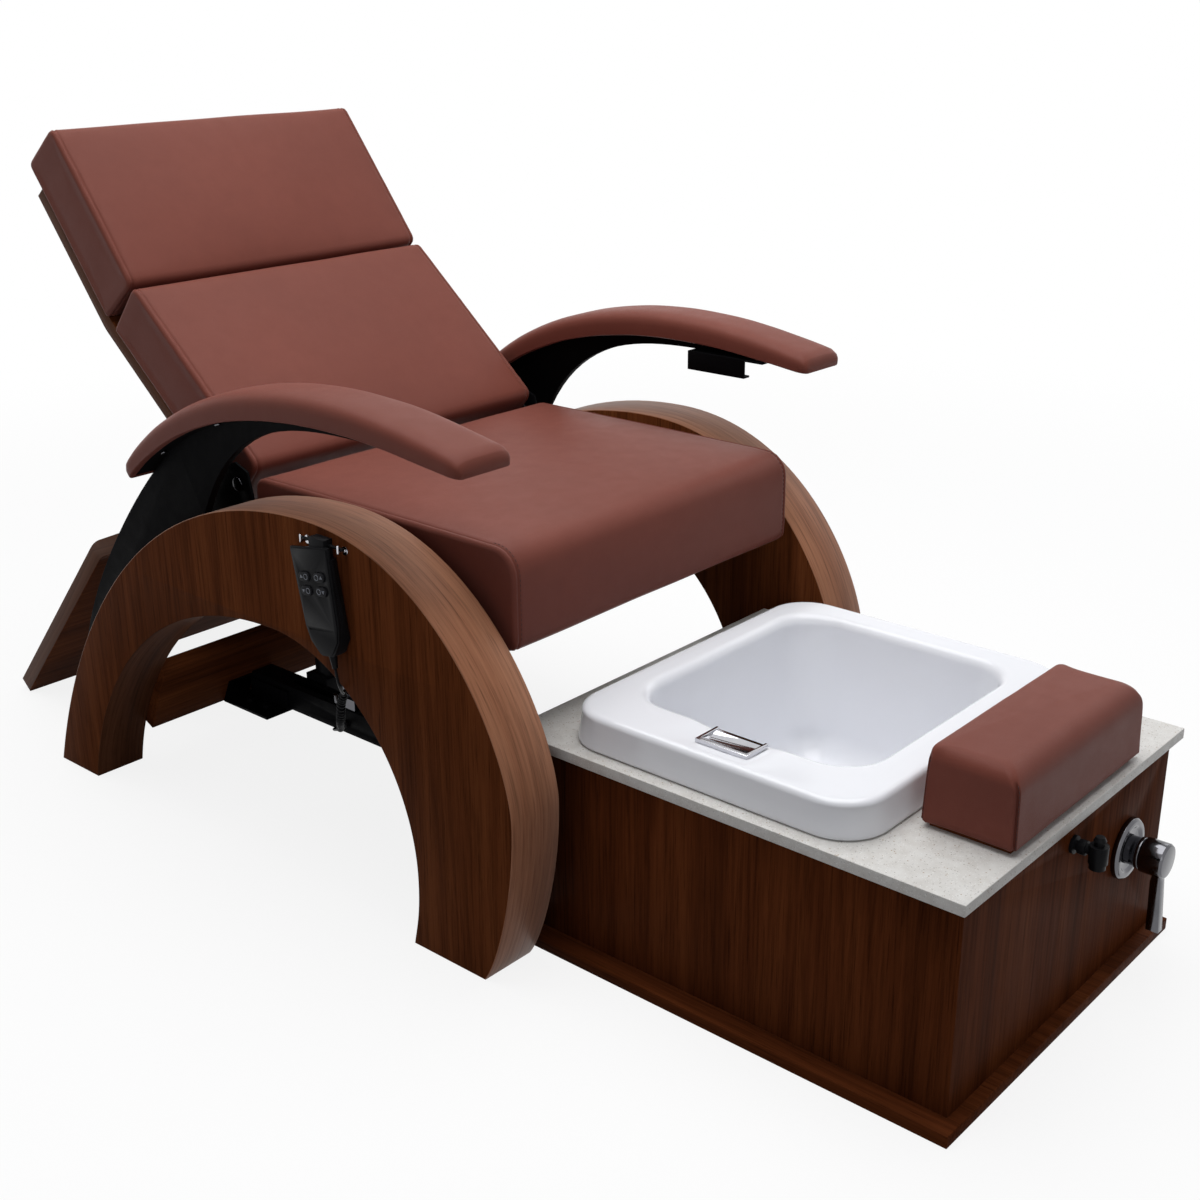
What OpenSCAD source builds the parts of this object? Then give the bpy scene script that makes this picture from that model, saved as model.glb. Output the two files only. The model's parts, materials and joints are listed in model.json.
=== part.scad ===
// Pedicure spa chair: two wooden side arches carry a padded seat, a reclining
// two-part backrest and curved armrests; a cabinet with a foot basin stands in front.
// Frame: +Z up, the sitter faces -Y, +X is the sitter's left. All sizes in millimetres.

/* [Side arches] */
// Thickness of each arch
arch_t = 82; // [76:1:86]
// Height of the arches
arch_h = 539; // [530:1:550]
// Height of the opening under each arch
opening_h = 373; // [360:1:376]
// Rear foot, from the datum back to its rear edge
rear_foot_y = 642; // [632:1:655]
// Length of the rear foot along the floor
rear_foot_l = 100; // [90:1:112]
// Front foot, from the datum forward to its front edge
front_foot_y = 312; // [304:1:320]
// Length of the front foot along the floor
front_foot_l = 128; // [120:1:136]

/* [Armrests] */
// Width of an armrest pad
pad_w = 90; // [80:1:96]
// Height of a pad at the middle of its length
pad_t = 31; // [26:1:36]
// Underside of the pad at its highest point
pad_z = 667; // [655:1:685]
// Thickness of the steel blade that carries a pad
blade_t = 12; // [8:1:16]
// Thickness of the steel strip under a pad
strip_t = 5; // [3:0.5:6]

/* [Seat] */
// Width of the seat cushion
seat_w = 564; // [540:2:580]
// Depth of the seat cushion
seat_l = 490; // [470:1:500]
// Clearance between the seat cushion and each arch
seat_side_gap = 14; // [13:0.5:24]
// Clearance between the seat cushion and the back's hinge axis
seat_rear_gap = 28; // [24:1:40]
// Underside of the seat cushion
seat_z = 400; // [396:1:408]
// Height of the seat cushion at its edges
seat_t = 130; // [115:1:136]
// Thickness of the plywood seat board
seat_board_t = 15; // [12:1:18]

/* [Backrest] */
// Narrowing of the back cushions against the seat, on each side
back_inset = 7; // [6:0.5:20]
// Thickness of the back cushions
back_t = 92; // [75:1:94]
// Slope of the lower back, from the horizontal
back_slope_low = 40.5; // [39:0.5:42]
// Slope of the upper back, from the horizontal
back_slope_up = 52.3; // [50:0.5:54]
// Length of the lower back panel
back_low_l = 355; // [350:1:362]
// Length of the upper back panel
back_up_l = 226; // [210:1:240]
// Length that the upper cushion stands past the panel's top edge
back_over = 39; // [20:1:50]
// Thickness of the bent plywood back panel
back_panel_t = 24; // [18:1:26]

/* [Basin cabinet] */
// Width of the plinth board
plinth_w = 564; // [540:2:580]
// Thickness of the plinth board
plinth_t = 16; // [12:1:22]
// Width of the cabinet
cab_w = 510; // [490:2:530]
// Depth of the cabinet
cab_l = 620; // [600:2:640]
// Height of the cabinet's panels
cab_h = 260; // [250:1:262]
// Thickness of the cabinet's panels
panel_t = 18; // [15:1:20]
// Thickness of the stone countertop
slab_t = 14; // [12:1:18]
// Overhang of the countertop at the sides
slab_over = 17; // [12:1:20]

/* [Basin] */
// Width over the basin's rim
basin_w = 510; // [500:2:520]
// Length over the basin's rim
basin_l = 434; // [420:1:440]
// Height of the rim above the countertop
rim_h = 46; // [38:1:50]
// Depth of the bowl below the rim
bowl_depth = 200; // [170:2:210]
// Wall thickness of the basin
basin_wall = 8; // [6:0.5:10]

/* [Mixer] */
// Height of the mixer above the floor
mixer_z = 172; // [150:1:190]
// Distance of the mixer from the cabinet's side
mixer_side = 106; // [85:1:135]
// Diameter of the mixer's wall flange
flange_d = 78; // [64:1:84]
// Diameter of the mixer's knob
knob_d = 44; // [38:1:50]
// Reach of the lever below the knob's axis
lever_l = 96; // [80:1:110]

/* [Footrest] */
// Width of the footrest cushion
foot_w = 314; // [280:2:330]
// Depth of the footrest cushion
foot_l = 114; // [96:1:116]
// Height of the footrest cushion
foot_t = 90; // [80:1:100]

/* [Handset] */
// Width of the handset at its top
hand_w = 72; // [66:1:84]
// Length of the handset
hand_l = 140; // [125:1:150]
// Thickness of the handset
hand_t = 20; // [19:0.5:22]
// Travel of a push button
button_travel = 1.5; // [1:0.25:2]

/* [Rear leg] */
// Thickness of the bent plywood rear leg
leg_t = 28; // [20:1:30]
// Narrowing of the rear leg against the space between the arches, on each side
leg_inset = 24; // [14:1:40]
// Slope of its lower part, from the horizontal
leg_slope_low = 47.6; // [46:0.2:50]
// Slope of its upper part, from the horizontal
leg_slope_up = 22; // [20:0.5:24]

/* [Recline drive] */
// Side of the square drive rail
rail_s = 40; // [34:1:44]
// Radius from the hinge to the crank pin
crank_r = 180; // [170:1:184]
// Diameter of the crank pin
crank_pin_d = 12; // [8:1:14]
// Diameter of the back's hinge pins
hinge_d = 12; // [10:1:14]

/* [Clearances] */
// Running clearance of a pin in its hole, on the radius
fit = 0.05; // [0.03:0.01:0.1]
// Clearance beside seated parts and round soft pieces
gap = 0.3; // [0.2:0.05:0.4]
// Clearance of the crank pin in the yoke's slot, on each side
slot_gap = 2; // [1.8:0.1:3]

/* [Hidden] */
$fn = 48;

// Colours
walnut = "#4a2a1a";
leather = "#6a3a33";
steel_black = "#1b1b1d";
chrome = "#c8cace";
quartz = "#d9d8d4";
white_gloss = "#efeff2";
plastic_black = "#151518";

// Arch outline: extremes and the reach of the curve's handles
arch_in = seat_w / 2 + seat_side_gap;
arch_x = arch_in + arch_t;
arch_mid = arch_in + arch_t / 2;
apex_y = -21;
bulge_y = -367;
bulge_z = 230;
opening_apex_y = 64;
opening_front_y = -197;
opening_front_z = 96;
curve_n = 24;

// Pad path along its underside, and the blade's edges
pad_tip = [358, 527];
pad_top_y = -78;
pad_front = [-296, pad_z - 18];
blade_front_tip = [-150, pad_z - 22];
blade_foot = [238, 485];
blade_tail = [598, 150];
tenon = 30;

// Seat, hinge and back
hinge_y = 232;
hinge_z = seat_z + seat_t - 14;
hinge = [hinge_y, hinge_z];
seat_rear_y = hinge_y - seat_rear_gap;
seat_front_y = seat_rear_y - seat_l;
knee = hinge + [303, 187];
back_w = seat_w - 2 * back_inset;
leg_w = 2 * (arch_in - leg_inset);
dir_low = [cos(back_slope_low), sin(back_slope_low)];
dir_up = [cos(back_slope_up), sin(back_slope_up)];
plate_t = 4;
bracket_x = back_w / 2 + 2.5;
hinge_x = bracket_x + plate_t + 2;
rail_wall = 5;
angle_s = 40;
tube_wall = 3;

// Cabinet
cab_front_y = -888;
plinth_front = 16;
slab_front = 9.5;
slab_back = 8;
cab_top = plinth_t + cab_h;
slab_top = cab_top + slab_t;
cab_back_y = cab_front_y + cab_l;
mixer_x = cab_w / 2 - mixer_side;
mixer_hole_d = 40;
fitting_stub_d = 13;

// Basin: rim rectangle and bowl opening
basin_front_y = cab_front_y + 128;
basin_y = basin_front_y + basin_l / 2;
rim_r = 60;
rim_edge_r = 9;
deck_near = 90;
deck_far = 50;
deck_front = 62;
deck_rear = 47;
bowl_r = 50;
bowl_w = basin_w - deck_near - deck_far;
bowl_l = basin_l - deck_front - deck_rear;
bowl_x = (deck_near - deck_far) / 2;
bowl_y = basin_front_y + deck_front + bowl_l / 2;
bowl_slope = 40;
bowl_floor_r = 24;
lip_r = 8;
rim_top = slab_top + rim_h;
bowl_floor = rim_top - bowl_depth;
drain_hole_d = 46;
flange_t = 4;
flange_lip = 7;
tailpiece_l = 46;

// Lower frame
frame_z = 68;
rail_x = -93;
stretcher_t = 28;
stretcher_low = [504, 65];
stretcher_h = 119;
stretcher_lean = 25;

// Handset
hand_top = [-51.5, 516];
hand_tilt = -9.5;
arch_gap = 2.5;
hand_back_x = -(arch_x + arch_gap);
cover_t = 6;
button_w = 20;
button_h = 12;
button_dx = 14.5;
button_dz = 9;
button_z = -46;
hand_side_taper = 9;
sleeve_l = 18;
hook_y = hand_top[0] - 10.5;
hook_dy = 35;
hook_d = 3;
post_h = 8;
pin_d = 4;
pin_x = hand_back_x - 5;
pin_z = hand_top[1] + 4;
hook_z = pin_z - pin_d / 2 - gap - hook_d / 2;
post_x = pin_x - pin_d / 2 - 0.9 - hook_d / 2;

// Curly cord: route of its axis, from the handset down under the arch to the drive rail
cord_d = 3.6;
cord_sides = 6;
curl_d = 12.6;
curls = 40;
curl_rings = 8;
cord_lead = 84;
cord_tail = 96;
gland_y = 252;
gland_z = 84;
gland_l = 10;
cord_down = [0, sin(hand_tilt), -cos(hand_tilt)];
cord_exit = [hand_back_x - hand_t / 2, hand_top[0], hand_top[1]]
    + cord_down * (hand_l + sleeve_l + gap);
cord_end = [rail_x - rail_s / 2 - gland_l - gap, gland_y, gland_z];
cord_route = [cord_exit - 20 * cord_down, cord_exit, cord_exit + 10 * cord_down, [-385, -76, 334],
    [-370, -62, 316], [-350, -40, 300], [-336, -18, 280], [-326, -2, 256], [-308, 22, 230], [-270, 70, 196],
    [-226, 124, 160], [-186, 176, 126], [-164, 212, 104], [-149, 238, 91], cord_end - [13, 0, 0], cord_end,
    cord_end + [15, 0, 0]];

// ---------- helpers ----------
function bez(a, b, c, d, n = curve_n) = [for (i = [0:n - 1])
    let (t = i / n)
    pow(1 - t, 3) * a + 3 * pow(1 - t, 2) * t * b + 3 * (1 - t) * t * t * c + t * t * t * d];
function reversed(v) = [for (i = [len(v) - 1:-1:0]) v[i]];
function perp(v) = [-v[1], v[0]];
function unit(v) = v / norm(v);
function middle(v) = [for (p = v) 1] * v / len(v);
function arc(c, r, a0, a1, n = 8) = [for (i = [0:n])
    let (a = a0 + (a1 - a0) * i / n)
    c + r * [cos(a), sin(a)]];

// Extrudes a side-view outline, given as [y, z], from x0 over thickness t along X
module side(x0, t) {
    translate([x0, 0, 0]) rotate([90, 0, 90]) linear_extrude(t) children();
}

// Both mirrored copies of what stands on the +X side
module pair() {
    children();
    mirror([1, 0, 0]) children();
}

module box(x0, x1, y0, y1, z0, z1) {
    translate([x0, y0, z0]) cube([x1 - x0, y1 - y0, z1 - z0]);
}

// Rectangle with round corners, centred
module round_rect(w, l, r) {
    square([w - 2 * r, l], center = true);
    square([w, l - 2 * r], center = true);
    for (x = [-1, 1], y = [-1, 1]) translate([x * (w / 2 - r), y * (l / 2 - r)]) circle(r);
}

// Solid whose edge section is a profile [d, z], d measured out from the corner centres
module pan(w, l, r, profile, z0, z1) {
    cx = w / 2 - r;
    cy = l / 2 - r;
    translate([0, 0, (z0 + z1) / 2]) cube([2 * cx, 2 * cy, z1 - z0], center = true);
    for (k = [0:3]) rotate(90 * k) {
        hx = k % 2 == 0 ? cx : cy;
        hy = k % 2 == 0 ? cy : cx;
        translate([hx, hy, 0]) rotate_extrude(angle = 90) polygon(profile);
        translate([hx, hy, 0]) rotate([90, 0, 0]) linear_extrude(2 * hy) polygon(profile);
    }
}

// ---------- soft forms ----------
// Rounded rectangle with the same number of points at every size
function rr_ring(a, b, r, arc_n, side_n, draw) =
    let (q = [[1, 1, 0], [-1, 1, 90], [-1, -1, 180], [1, -1, 270]])
    [for (k = [0:3])
        let (s = q[k], e = q[(k + 1) % 4],
            c = [s[0] * (a - r), s[1] * (b - r)], c2 = [e[0] * (a - r), e[1] * (b - r)])
        each concat(
            [for (i = [0:arc_n]) c + r * [cos(s[2] + 90 * i / arc_n), sin(s[2] + 90 * i / arc_n)]],
            [for (i = [1:side_n])
                let (f = i / (side_n + 1), o = [cos(s[2] + 90), sin(s[2] + 90)])
                c + (c2 - c) * f + o * (r - draw * 4 * f * (1 - f))])];

// Stacked rings closed by a point at each end, as one triangulated skin
module skin(rings, low, high) {
    n = len(rings[0]);
    m = len(rings);
    points = concat([low], [for (g = rings) each g], [high]);
    faces = concat(
        [for (j = [0:n - 1]) [0, 1 + j, 1 + (j + 1) % n]],
        [for (i = [0:m - 2], j = [0:n - 1]) [1 + i * n + j, 1 + (i + 1) * n + j, 1 + i * n + (j + 1) % n]],
        [for (i = [0:m - 2], j = [0:n - 1])
            [1 + i * n + (j + 1) % n, 1 + (i + 1) * n + j, 1 + (i + 1) * n + (j + 1) % n]],
        [for (j = [0:n - 1]) [m * n + 1, 1 + (m - 1) * n + (j + 1) % n, 1 + (m - 1) * n + j]]);
    polyhedron(points, faces, convexity = 4);
}

// Box cushion, flat below: drawn-in sides, a pinched seam under the top edge and a crowned top
module cushion(w, l, t, corner = 22, edge = 16, crown = 12, draw = 4, seam = 12) {
    a = w / 2;
    b = l / 2;
    under = 8;
    // Each ring: inset, height, share of the draw-in, share of the crown
    levels = [[under, 0, 0], [1, under * 0.6, 0.3], [0, t * 0.45, 1], [0.5, t - edge - seam, 0.7],
        [2.2, t - edge - seam / 2, 0.5], [0.6, t - edge, 0.5], [edge * 0.14, t - edge * 0.45, 0.4],
        [edge * 0.55, t - edge * 0.1, 0.3], [edge * 1.3, t, 0.1],
        [(edge * 1.3 + min(a, b) * 0.8) / 2, t, 0], [min(a, b) * 0.8, t, 0]];
    rings = [for (v = levels)
        let (ring = rr_ring(a - v[0], b - v[0], max(corner - v[0], 3), 3, 5, draw * v[2]))
        [for (p = ring) [p[0], p[1], v[1] + (v[1] < t * 0.6 ? 0
            : crown * (1 - pow(p[0] / a, 2)) * (1 - pow(p[1] / b, 2)))]]];
    skin(rings, [0, 0, 0], [0, 0, t + crown]);
}

// ---------- wooden side arches ----------
arch_outer = concat(
    bez([rear_foot_y, 0], [rear_foot_y - 88, arch_h * 0.488], [apex_y + 355, arch_h], [apex_y, arch_h]),
    bez([apex_y, arch_h], [apex_y - 243, arch_h], [bulge_y, bulge_z + 87], [bulge_y, bulge_z]),
    bez([bulge_y, bulge_z], [bulge_y, bulge_z - 94], [-front_foot_y - 23, 30], [-front_foot_y, 0]),
    [[-front_foot_y, 0]]);
arch_opening = concat(
    bez([rear_foot_y - rear_foot_l, 0], [rear_foot_y - rear_foot_l - 33, opening_h * 0.43],
        [opening_apex_y + 288, opening_h], [opening_apex_y, opening_h]),
    bez([opening_apex_y, opening_h], [opening_apex_y - 136, opening_h],
        [opening_front_y, opening_front_z + 156], [opening_front_y, opening_front_z]),
    bez([opening_front_y, opening_front_z], [opening_front_y, opening_front_z - 50],
        [front_foot_l - front_foot_y - 5, 25], [front_foot_l - front_foot_y, 0], 6),
    [[front_foot_l - front_foot_y, 0]]);

module arch_outline() {
    polygon(concat(arch_outer, reversed(arch_opening)));
}

// The slot lets the armrest blade into the rim, in the middle of the arch's thickness
module side_arch() {
    difference() {
        side(arch_in, arch_t) arch_outline();
        side(arch_mid - blade_t / 2 - gap, blade_t + 2 * gap) blade_outline();
    }
}

// ---------- armrests ----------
pad_path = concat(
    bez(pad_tip, pad_tip + [-80, 68], [pad_top_y + 230, pad_z], [pad_top_y, pad_z], 12),
    bez([pad_top_y, pad_z], [pad_top_y - 90, pad_z], pad_front + [80, 8], pad_front, 8),
    [pad_front]);
strip_path = [for (p = pad_path) p - [0, strip_t]];
strip_line = reversed(strip_path);

module blade_outline() {
    tenon_in = [-tenon * 0.72, -tenon * 0.69];
    polygon(concat(
        [for (p = strip_path) if (p[0] < pad_tip[0] - 30 && p[0] > blade_front_tip[0]) p],
        [blade_front_tip],
        bez(blade_front_tip, blade_front_tip + [129, -4], blade_foot + [-87, 179], blade_foot),
        [blade_foot],
        bez(blade_foot + tenon_in, [330, 400], [490, 290], blade_tail + [-26, -12]),
        [blade_tail + [-26, -12]],
        bez(blade_tail, blade_tail + [-17, 130], pad_tip + [70, -70], pad_tip + [-20, 8])));
}

module armrest_support() {
    strip_w = pad_w - 26;
    side(arch_mid - blade_t / 2, blade_t) blade_outline();
    side(arch_mid - strip_w / 2, strip_w) polygon(concat(pad_path, reversed(strip_path)));
}

// Pad swept along its path: flat below, crowned above, round at both ends
module armrest_pad() {
    path = pad_path;
    m = len(path);
    sides = 10;
    total = m - 1;
    rings = [for (i = [0:m - 1])
        let (
            d = unit(path[min(i + 1, m - 1)] - path[max(i - 1, 0)]),
            up = [d[1], -d[0]] * (d[0] < 0 ? 1 : -1),
            f = i / total,
            swell = 0.52 + 0.48 * pow(sin(180 * f), 0.55),
            end = i == 0 || i == total ? 0.55 : 1,
            narrow = i == 0 || i == total ? 0.84 : (i == 1 || i == total - 1 ? 0.96 : 1),
            h = pad_t * swell * end,
            w = pad_w * narrow)
        [for (k = [0:sides])
            let (a = 180 * k / sides,
                x = w / 2 * sign(cos(a)) * pow(abs(cos(a)), 0.62),
                z = gap + h * pow(sin(a), 0.7))
            [arch_mid + x, path[i][0] + up[0] * z, path[i][1] + up[1] * z]]];
    skin(rings, middle(rings[0]), middle(rings[m - 1]));
}

// Folded sheet channel under the left pad, open to the front for an accessory tray's tongue
module tray_bracket() {
    y0 = -197;
    y1 = -94;
    x1 = arch_mid - blade_t / 2 - 1;
    x0 = x1 - 38;
    sheet = 3;
    top = pad_z - strip_t - 12;
    box(x0, x1, y0 - 32, y1, top - sheet, top);
    box(x0, x0 + sheet, y0, y1, top - 28, top);
    box(x0, x0 + 14, y0, y1, top - 28, top - 28 + sheet);
    side(x1 - sheet, sheet) polygon(concat([[y1, top - sheet], [y1, lookup(y1, strip_line)]],
        [for (p = strip_path) if (p[0] < y1 && p[0] > y0) p],
        [[y0, lookup(y0, strip_line)], [y0, top - sheet]]));
}

// ---------- frame between the arches ----------
module rear_stretcher() {
    translate([0, stretcher_low[0], stretcher_low[1]]) rotate([stretcher_lean, 0, 0])
        box(-arch_in, arch_in, 0, stretcher_t, 0, stretcher_h);
}

// Bent plywood leg: its underside runs straight up from the floor, then bends forward
leg_foot = [920, 0];
leg_low_l = 412;
leg_up_l = 300;
leg_bend_r = 50;
function leg_side(o) =
    let (d1 = [-cos(leg_slope_low), sin(leg_slope_low)],
        d2 = [-cos(leg_slope_up), sin(leg_slope_up)],
        n1 = [sin(leg_slope_low), cos(leg_slope_low)],
        c = leg_foot + d1 * leg_low_l - n1 * leg_bend_r,
        n2 = [sin(leg_slope_up), cos(leg_slope_up)])
    concat([leg_foot + n1 * o],
        arc(c, leg_bend_r + o, 90 - leg_slope_low, 90 - leg_slope_up, 6),
        [c + n2 * (leg_bend_r + o) + d2 * leg_up_l]);

module rear_leg_panel() {
    side(-leg_w / 2, leg_w) polygon(concat(leg_side(0), reversed(leg_side(leg_t))));
}

module front_crossbar() {
    difference() {
        box(-arch_in, arch_in, cab_back_y, cab_back_y + rail_s, frame_z, frame_z + rail_s);
        box(-arch_in - 1, arch_in + 1, cab_back_y + tube_wall, cab_back_y + rail_s - tube_wall,
            frame_z + tube_wall, frame_z + rail_s - tube_wall);
    }
}

// Square bar under the top end of the rear leg, between the hinge plates
leg_end = leg_side(0)[len(leg_side(0)) - 1];
bar_s = 28;
bar_from_end = 40;
module rear_crossbar() {
    at = leg_end + [cos(leg_slope_up), -sin(leg_slope_up)] * bar_from_end;
    translate([0, at[0], at[1]]) rotate([-leg_slope_up, 0, 0])
        box(-hinge_x, hinge_x, 0, bar_s, -bar_s, 0);
}

seat_rail_z = seat_z - seat_board_t;
seat_rail_l = 355;
seat_rail_y = seat_rear_y + 1;
module seat_rails() {
    low = seat_rail_z - rail_wall;
    pair() {
        box(arch_in - rail_wall, arch_in, seat_rail_y - seat_rail_l, seat_rail_y, low, low + angle_s);
        box(arch_in - angle_s, arch_in, seat_rail_y - seat_rail_l, seat_rail_y, low, seat_rail_z);
    }
}

module seat_crossbars() {
    for (back = [85, seat_rail_l - 25])
        box(-arch_in + 2, arch_in - 2, seat_rail_y - back, seat_rail_y - back + 40,
            seat_rail_z - rail_wall - 25, seat_rail_z - rail_wall);
}

board_side = 16;
board_front = 40;
board_rear = 14;
module seat_board() {
    box(-seat_w / 2 + board_side, seat_w / 2 - board_side, seat_front_y + board_front,
        seat_rear_y - board_rear, seat_rail_z, seat_z);
}

module seat_cushion() {
    translate([0, seat_front_y + seat_l / 2, seat_z])
        cushion(seat_w, seat_l, seat_t, corner = 20, edge = 20, crown = 12, draw = 3);
}

// Side plates behind the seat: they hold the back's hinge pins and the rear crossbar
module hinge_plates() {
    at = leg_end + [cos(leg_slope_up), -sin(leg_slope_up)] * (bar_from_end + bar_s / 2);
    pair() difference() {
        side(hinge_x, plate_t) polygon([[seat_rail_y - 55, seat_rail_z], [seat_rail_y + 3, seat_rail_z],
            at + [-30, -38], at + [24, -34], at + [26, 6],
            hinge + [68, -38], hinge + [32, 20], hinge + [6, 30], hinge + [-20, 20], hinge + [-42, -76],
            [seat_rail_y - 55, seat_rail_z + angle_s]]);
        translate([hinge_x - 1, hinge_y, hinge_z]) rotate([0, 90, 0])
            cylinder(d = hinge_d + 2 * fit, h = plate_t + 2);
    }
}

pin_head_t = 3;
module hinge_pins() {
    pair() {
        translate([bracket_x - 1.5, hinge_y, hinge_z]) rotate([0, 90, 0])
            cylinder(d = hinge_d, h = hinge_x + plate_t + 0.5 - bracket_x + 1.5);
        translate([hinge_x + plate_t, hinge_y, hinge_z]) rotate([0, 90, 0])
            cylinder(d = hinge_d + 8, h = pin_head_t);
    }
}

// ---------- backrest ----------
function along(p, d, s) = p + d * s;
panel_low = along(knee, dir_low, -back_low_l);
panel_top = along(knee, dir_up, back_up_l);
back_out_low = -perp(dir_low);
back_out_up = -perp(dir_up);
back_mid = unit(back_out_low + back_out_up);

module back_panel() {
    half = (back_slope_up - back_slope_low) / 2;
    side(-back_w / 2 + 7, back_w - 14) polygon([panel_low, knee, panel_top,
        panel_top + back_out_up * back_panel_t, knee + back_mid * back_panel_t / cos(half),
        panel_low + back_out_low * back_panel_t]);
}

// Lays a cushion on the panel's front: from s0 to s1 along dir, starting at the knee
module on_panel(dir, slope, s0, s1) {
    mid = along(knee, dir, (s0 + s1) / 2) + perp(dir) * gap;
    translate([0, mid[0], mid[1]]) rotate([slope, 0, 0]) children();
}

module back_cushion_upper() {
    on_panel(dir_up, back_slope_up, 2, back_up_l + back_over)
        cushion(back_w, back_up_l + back_over - 2, back_t, corner = 12, edge = 14, crown = 4, draw = 3);
}

knee_gap = 20;
module back_cushion_lower() {
    on_panel(dir_low, back_slope_low, -back_low_l, -knee_gap)
        cushion(back_w, back_low_l - knee_gap, back_t, corner = 12, edge = 14, crown = 4, draw = 3);
}

// Side plates on the back panel's edges with a turned-in foot on its rear face
module back_brackets() {
    p1 = panel_low + back_out_low * back_panel_t;
    lug_l = 96;
    pair() difference() {
        union() {
            side(bracket_x, plate_t) polygon([hinge + [-10, -10], hinge + [-4, 14], hinge + [20, 24],
                p1 + dir_low * (lug_l + 10) + perp(dir_low) * 30,
                p1 + dir_low * lug_l - perp(dir_low) * plate_t, p1 - perp(dir_low) * plate_t,
                hinge + [14, -28]]);
            side(back_w / 2 - 45, bracket_x - back_w / 2 + 46) polygon([p1, p1 + dir_low * lug_l,
                p1 + dir_low * lug_l - perp(dir_low) * plate_t, p1 - perp(dir_low) * plate_t]);
        }
        translate([bracket_x - 1, hinge_y, hinge_z]) rotate([0, 90, 0])
            cylinder(d = hinge_d + 2 * fit, h = plate_t + 2);
    }
}

// Crank: a foot on the panel's rear face, an arm down to the pin that rides in the yoke's slot
recline_back = 8;
recline_up = 22;
crank_angle = recline_back;
crank_pin = [hinge_y + crank_r * sin(crank_angle), hinge_z - crank_r * cos(crank_angle)];
yoke_t = 10;
arm_t = 8;
module back_crank() {
    p1 = panel_low + back_out_low * back_panel_t;
    arm_x = rail_x - yoke_t / 2 - 2 - arm_t;
    lug_l = 90;
    union() {
        side(arm_x, arm_t) polygon([p1 + dir_low * 8, p1 + dir_low * lug_l, hinge + [80, -46],
            crank_pin + [16, 20], crank_pin + [13, -7], crank_pin + [5, -14], crank_pin + [-5, -14],
            crank_pin + [-13, -7], crank_pin + [-13, 14], hinge + [38, -76]]);
        side(arm_x - 24, 48 + arm_t) polygon([p1 + dir_low * 8, p1 + dir_low * lug_l,
            p1 + dir_low * lug_l - perp(dir_low) * 5, p1 + dir_low * 8 - perp(dir_low) * 5]);
        translate([arm_x - 3, crank_pin[0], crank_pin[1]]) rotate([0, 90, 0])
            cylinder(d = crank_pin_d, h = arm_t + yoke_t + 8);
    }
}

// ---------- recline drive ----------
rail_rear_y = stretcher_low[0] - tan(stretcher_lean) * (frame_z + rail_s - stretcher_low[1]);
rail_top = frame_z + rail_s;
rail_slot = [130, 400];
rail_slot_w = 14;
module drive_rail() {
    difference() {
        box(rail_x - rail_s / 2, rail_x + rail_s / 2, cab_back_y + rail_s, rail_rear_y, frame_z, rail_top);
        box(rail_x - rail_s / 2 + tube_wall, rail_x + rail_s / 2 - tube_wall, cab_back_y + rail_s - 1,
            rail_rear_y + 1, frame_z + tube_wall, rail_top - tube_wall);
        box(rail_x - rail_slot_w / 2, rail_x + rail_slot_w / 2, rail_slot[0], rail_slot[1],
            rail_top - tube_wall - 1, rail_top + 1);
        translate([rail_x - rail_s / 2 - 1, gland_y, gland_z]) rotate([0, 90, 0]) cylinder(d = 8, h = 5);
    }
}

bracket_plate = 4;
module drive_bracket() {
    y0 = rail_rear_y - 92;
    box(rail_x - rail_s / 2 - 46, rail_x + rail_s / 2, y0, stretcher_low[0] - 1.5,
        frame_z - bracket_plate, frame_z);
    box(rail_x - rail_s / 2 - bracket_plate, rail_x - rail_s / 2, y0, rail_rear_y, frame_z, frame_z + 30);
    translate([0, stretcher_low[0], stretcher_low[1]]) rotate([stretcher_lean, 0, 0])
        box(rail_x - rail_s / 2 - 46, rail_x - rail_s / 2, -bracket_plate, 0, 0, 44);
}

motor_y = 344;
module drive_motor() {
    x0 = rail_x + rail_s / 2;
    box(x0, x0 + 58, motor_y, motor_y + 50, 80, 118);
    translate([x0 + 28, motor_y + 25, 118]) cylinder(d = 44, h = 60);
    translate([x0 + 28, motor_y + 25, 178]) cylinder(d = 36, h = 6);
    translate([x0, motor_y + 25, 100]) rotate([0, 90, 0]) cylinder(d = 46, h = 24);
}

// Yoke on the rail: its slot takes the crank pin as it rises and falls
slot_low = crank_pin[1] - 12;
slot_high = hinge_z - crank_r * cos(crank_angle + recline_up) + 6;
module drive_slider() {
    y = crank_pin[0];
    w = crank_pin_d / 2 + slot_gap;
    difference() {
        union() {
            box(rail_x - 17, rail_x + 17, y - 24, y + 24, rail_top + gap, rail_top + 18);
            box(rail_x - yoke_t / 2, rail_x + yoke_t / 2, y - 17, y + 17, rail_top + 18, slot_high + 14);
            box(rail_x - 5, rail_x + 5, y - 20, y + 20, rail_top - 22, rail_top + gap);
        }
        side(rail_x - yoke_t, 2 * yoke_t) translate([y, 0]) {
            translate([0, slot_low]) circle(w);
            translate([0, slot_high]) circle(w);
            translate([-w, slot_low]) square([2 * w, slot_high - slot_low]);
        }
    }
}

module control_box() {
    x0 = rail_x + rail_s / 2 + 1;
    y0 = 20;
    difference() {
        box(x0 - 1, x0 + 70, y0, y0 + 130, frame_z + 4, frame_z + 50);
        box(x0 + 20, x0 + 48, y0 - 1, y0 + 16, frame_z + 14, frame_z + 34);
    }
}

// ---------- cabinet ----------
module plinth_board() {
    box(-plinth_w / 2, plinth_w / 2, cab_front_y - plinth_front, cab_back_y, 0, plinth_t);
}

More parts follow.
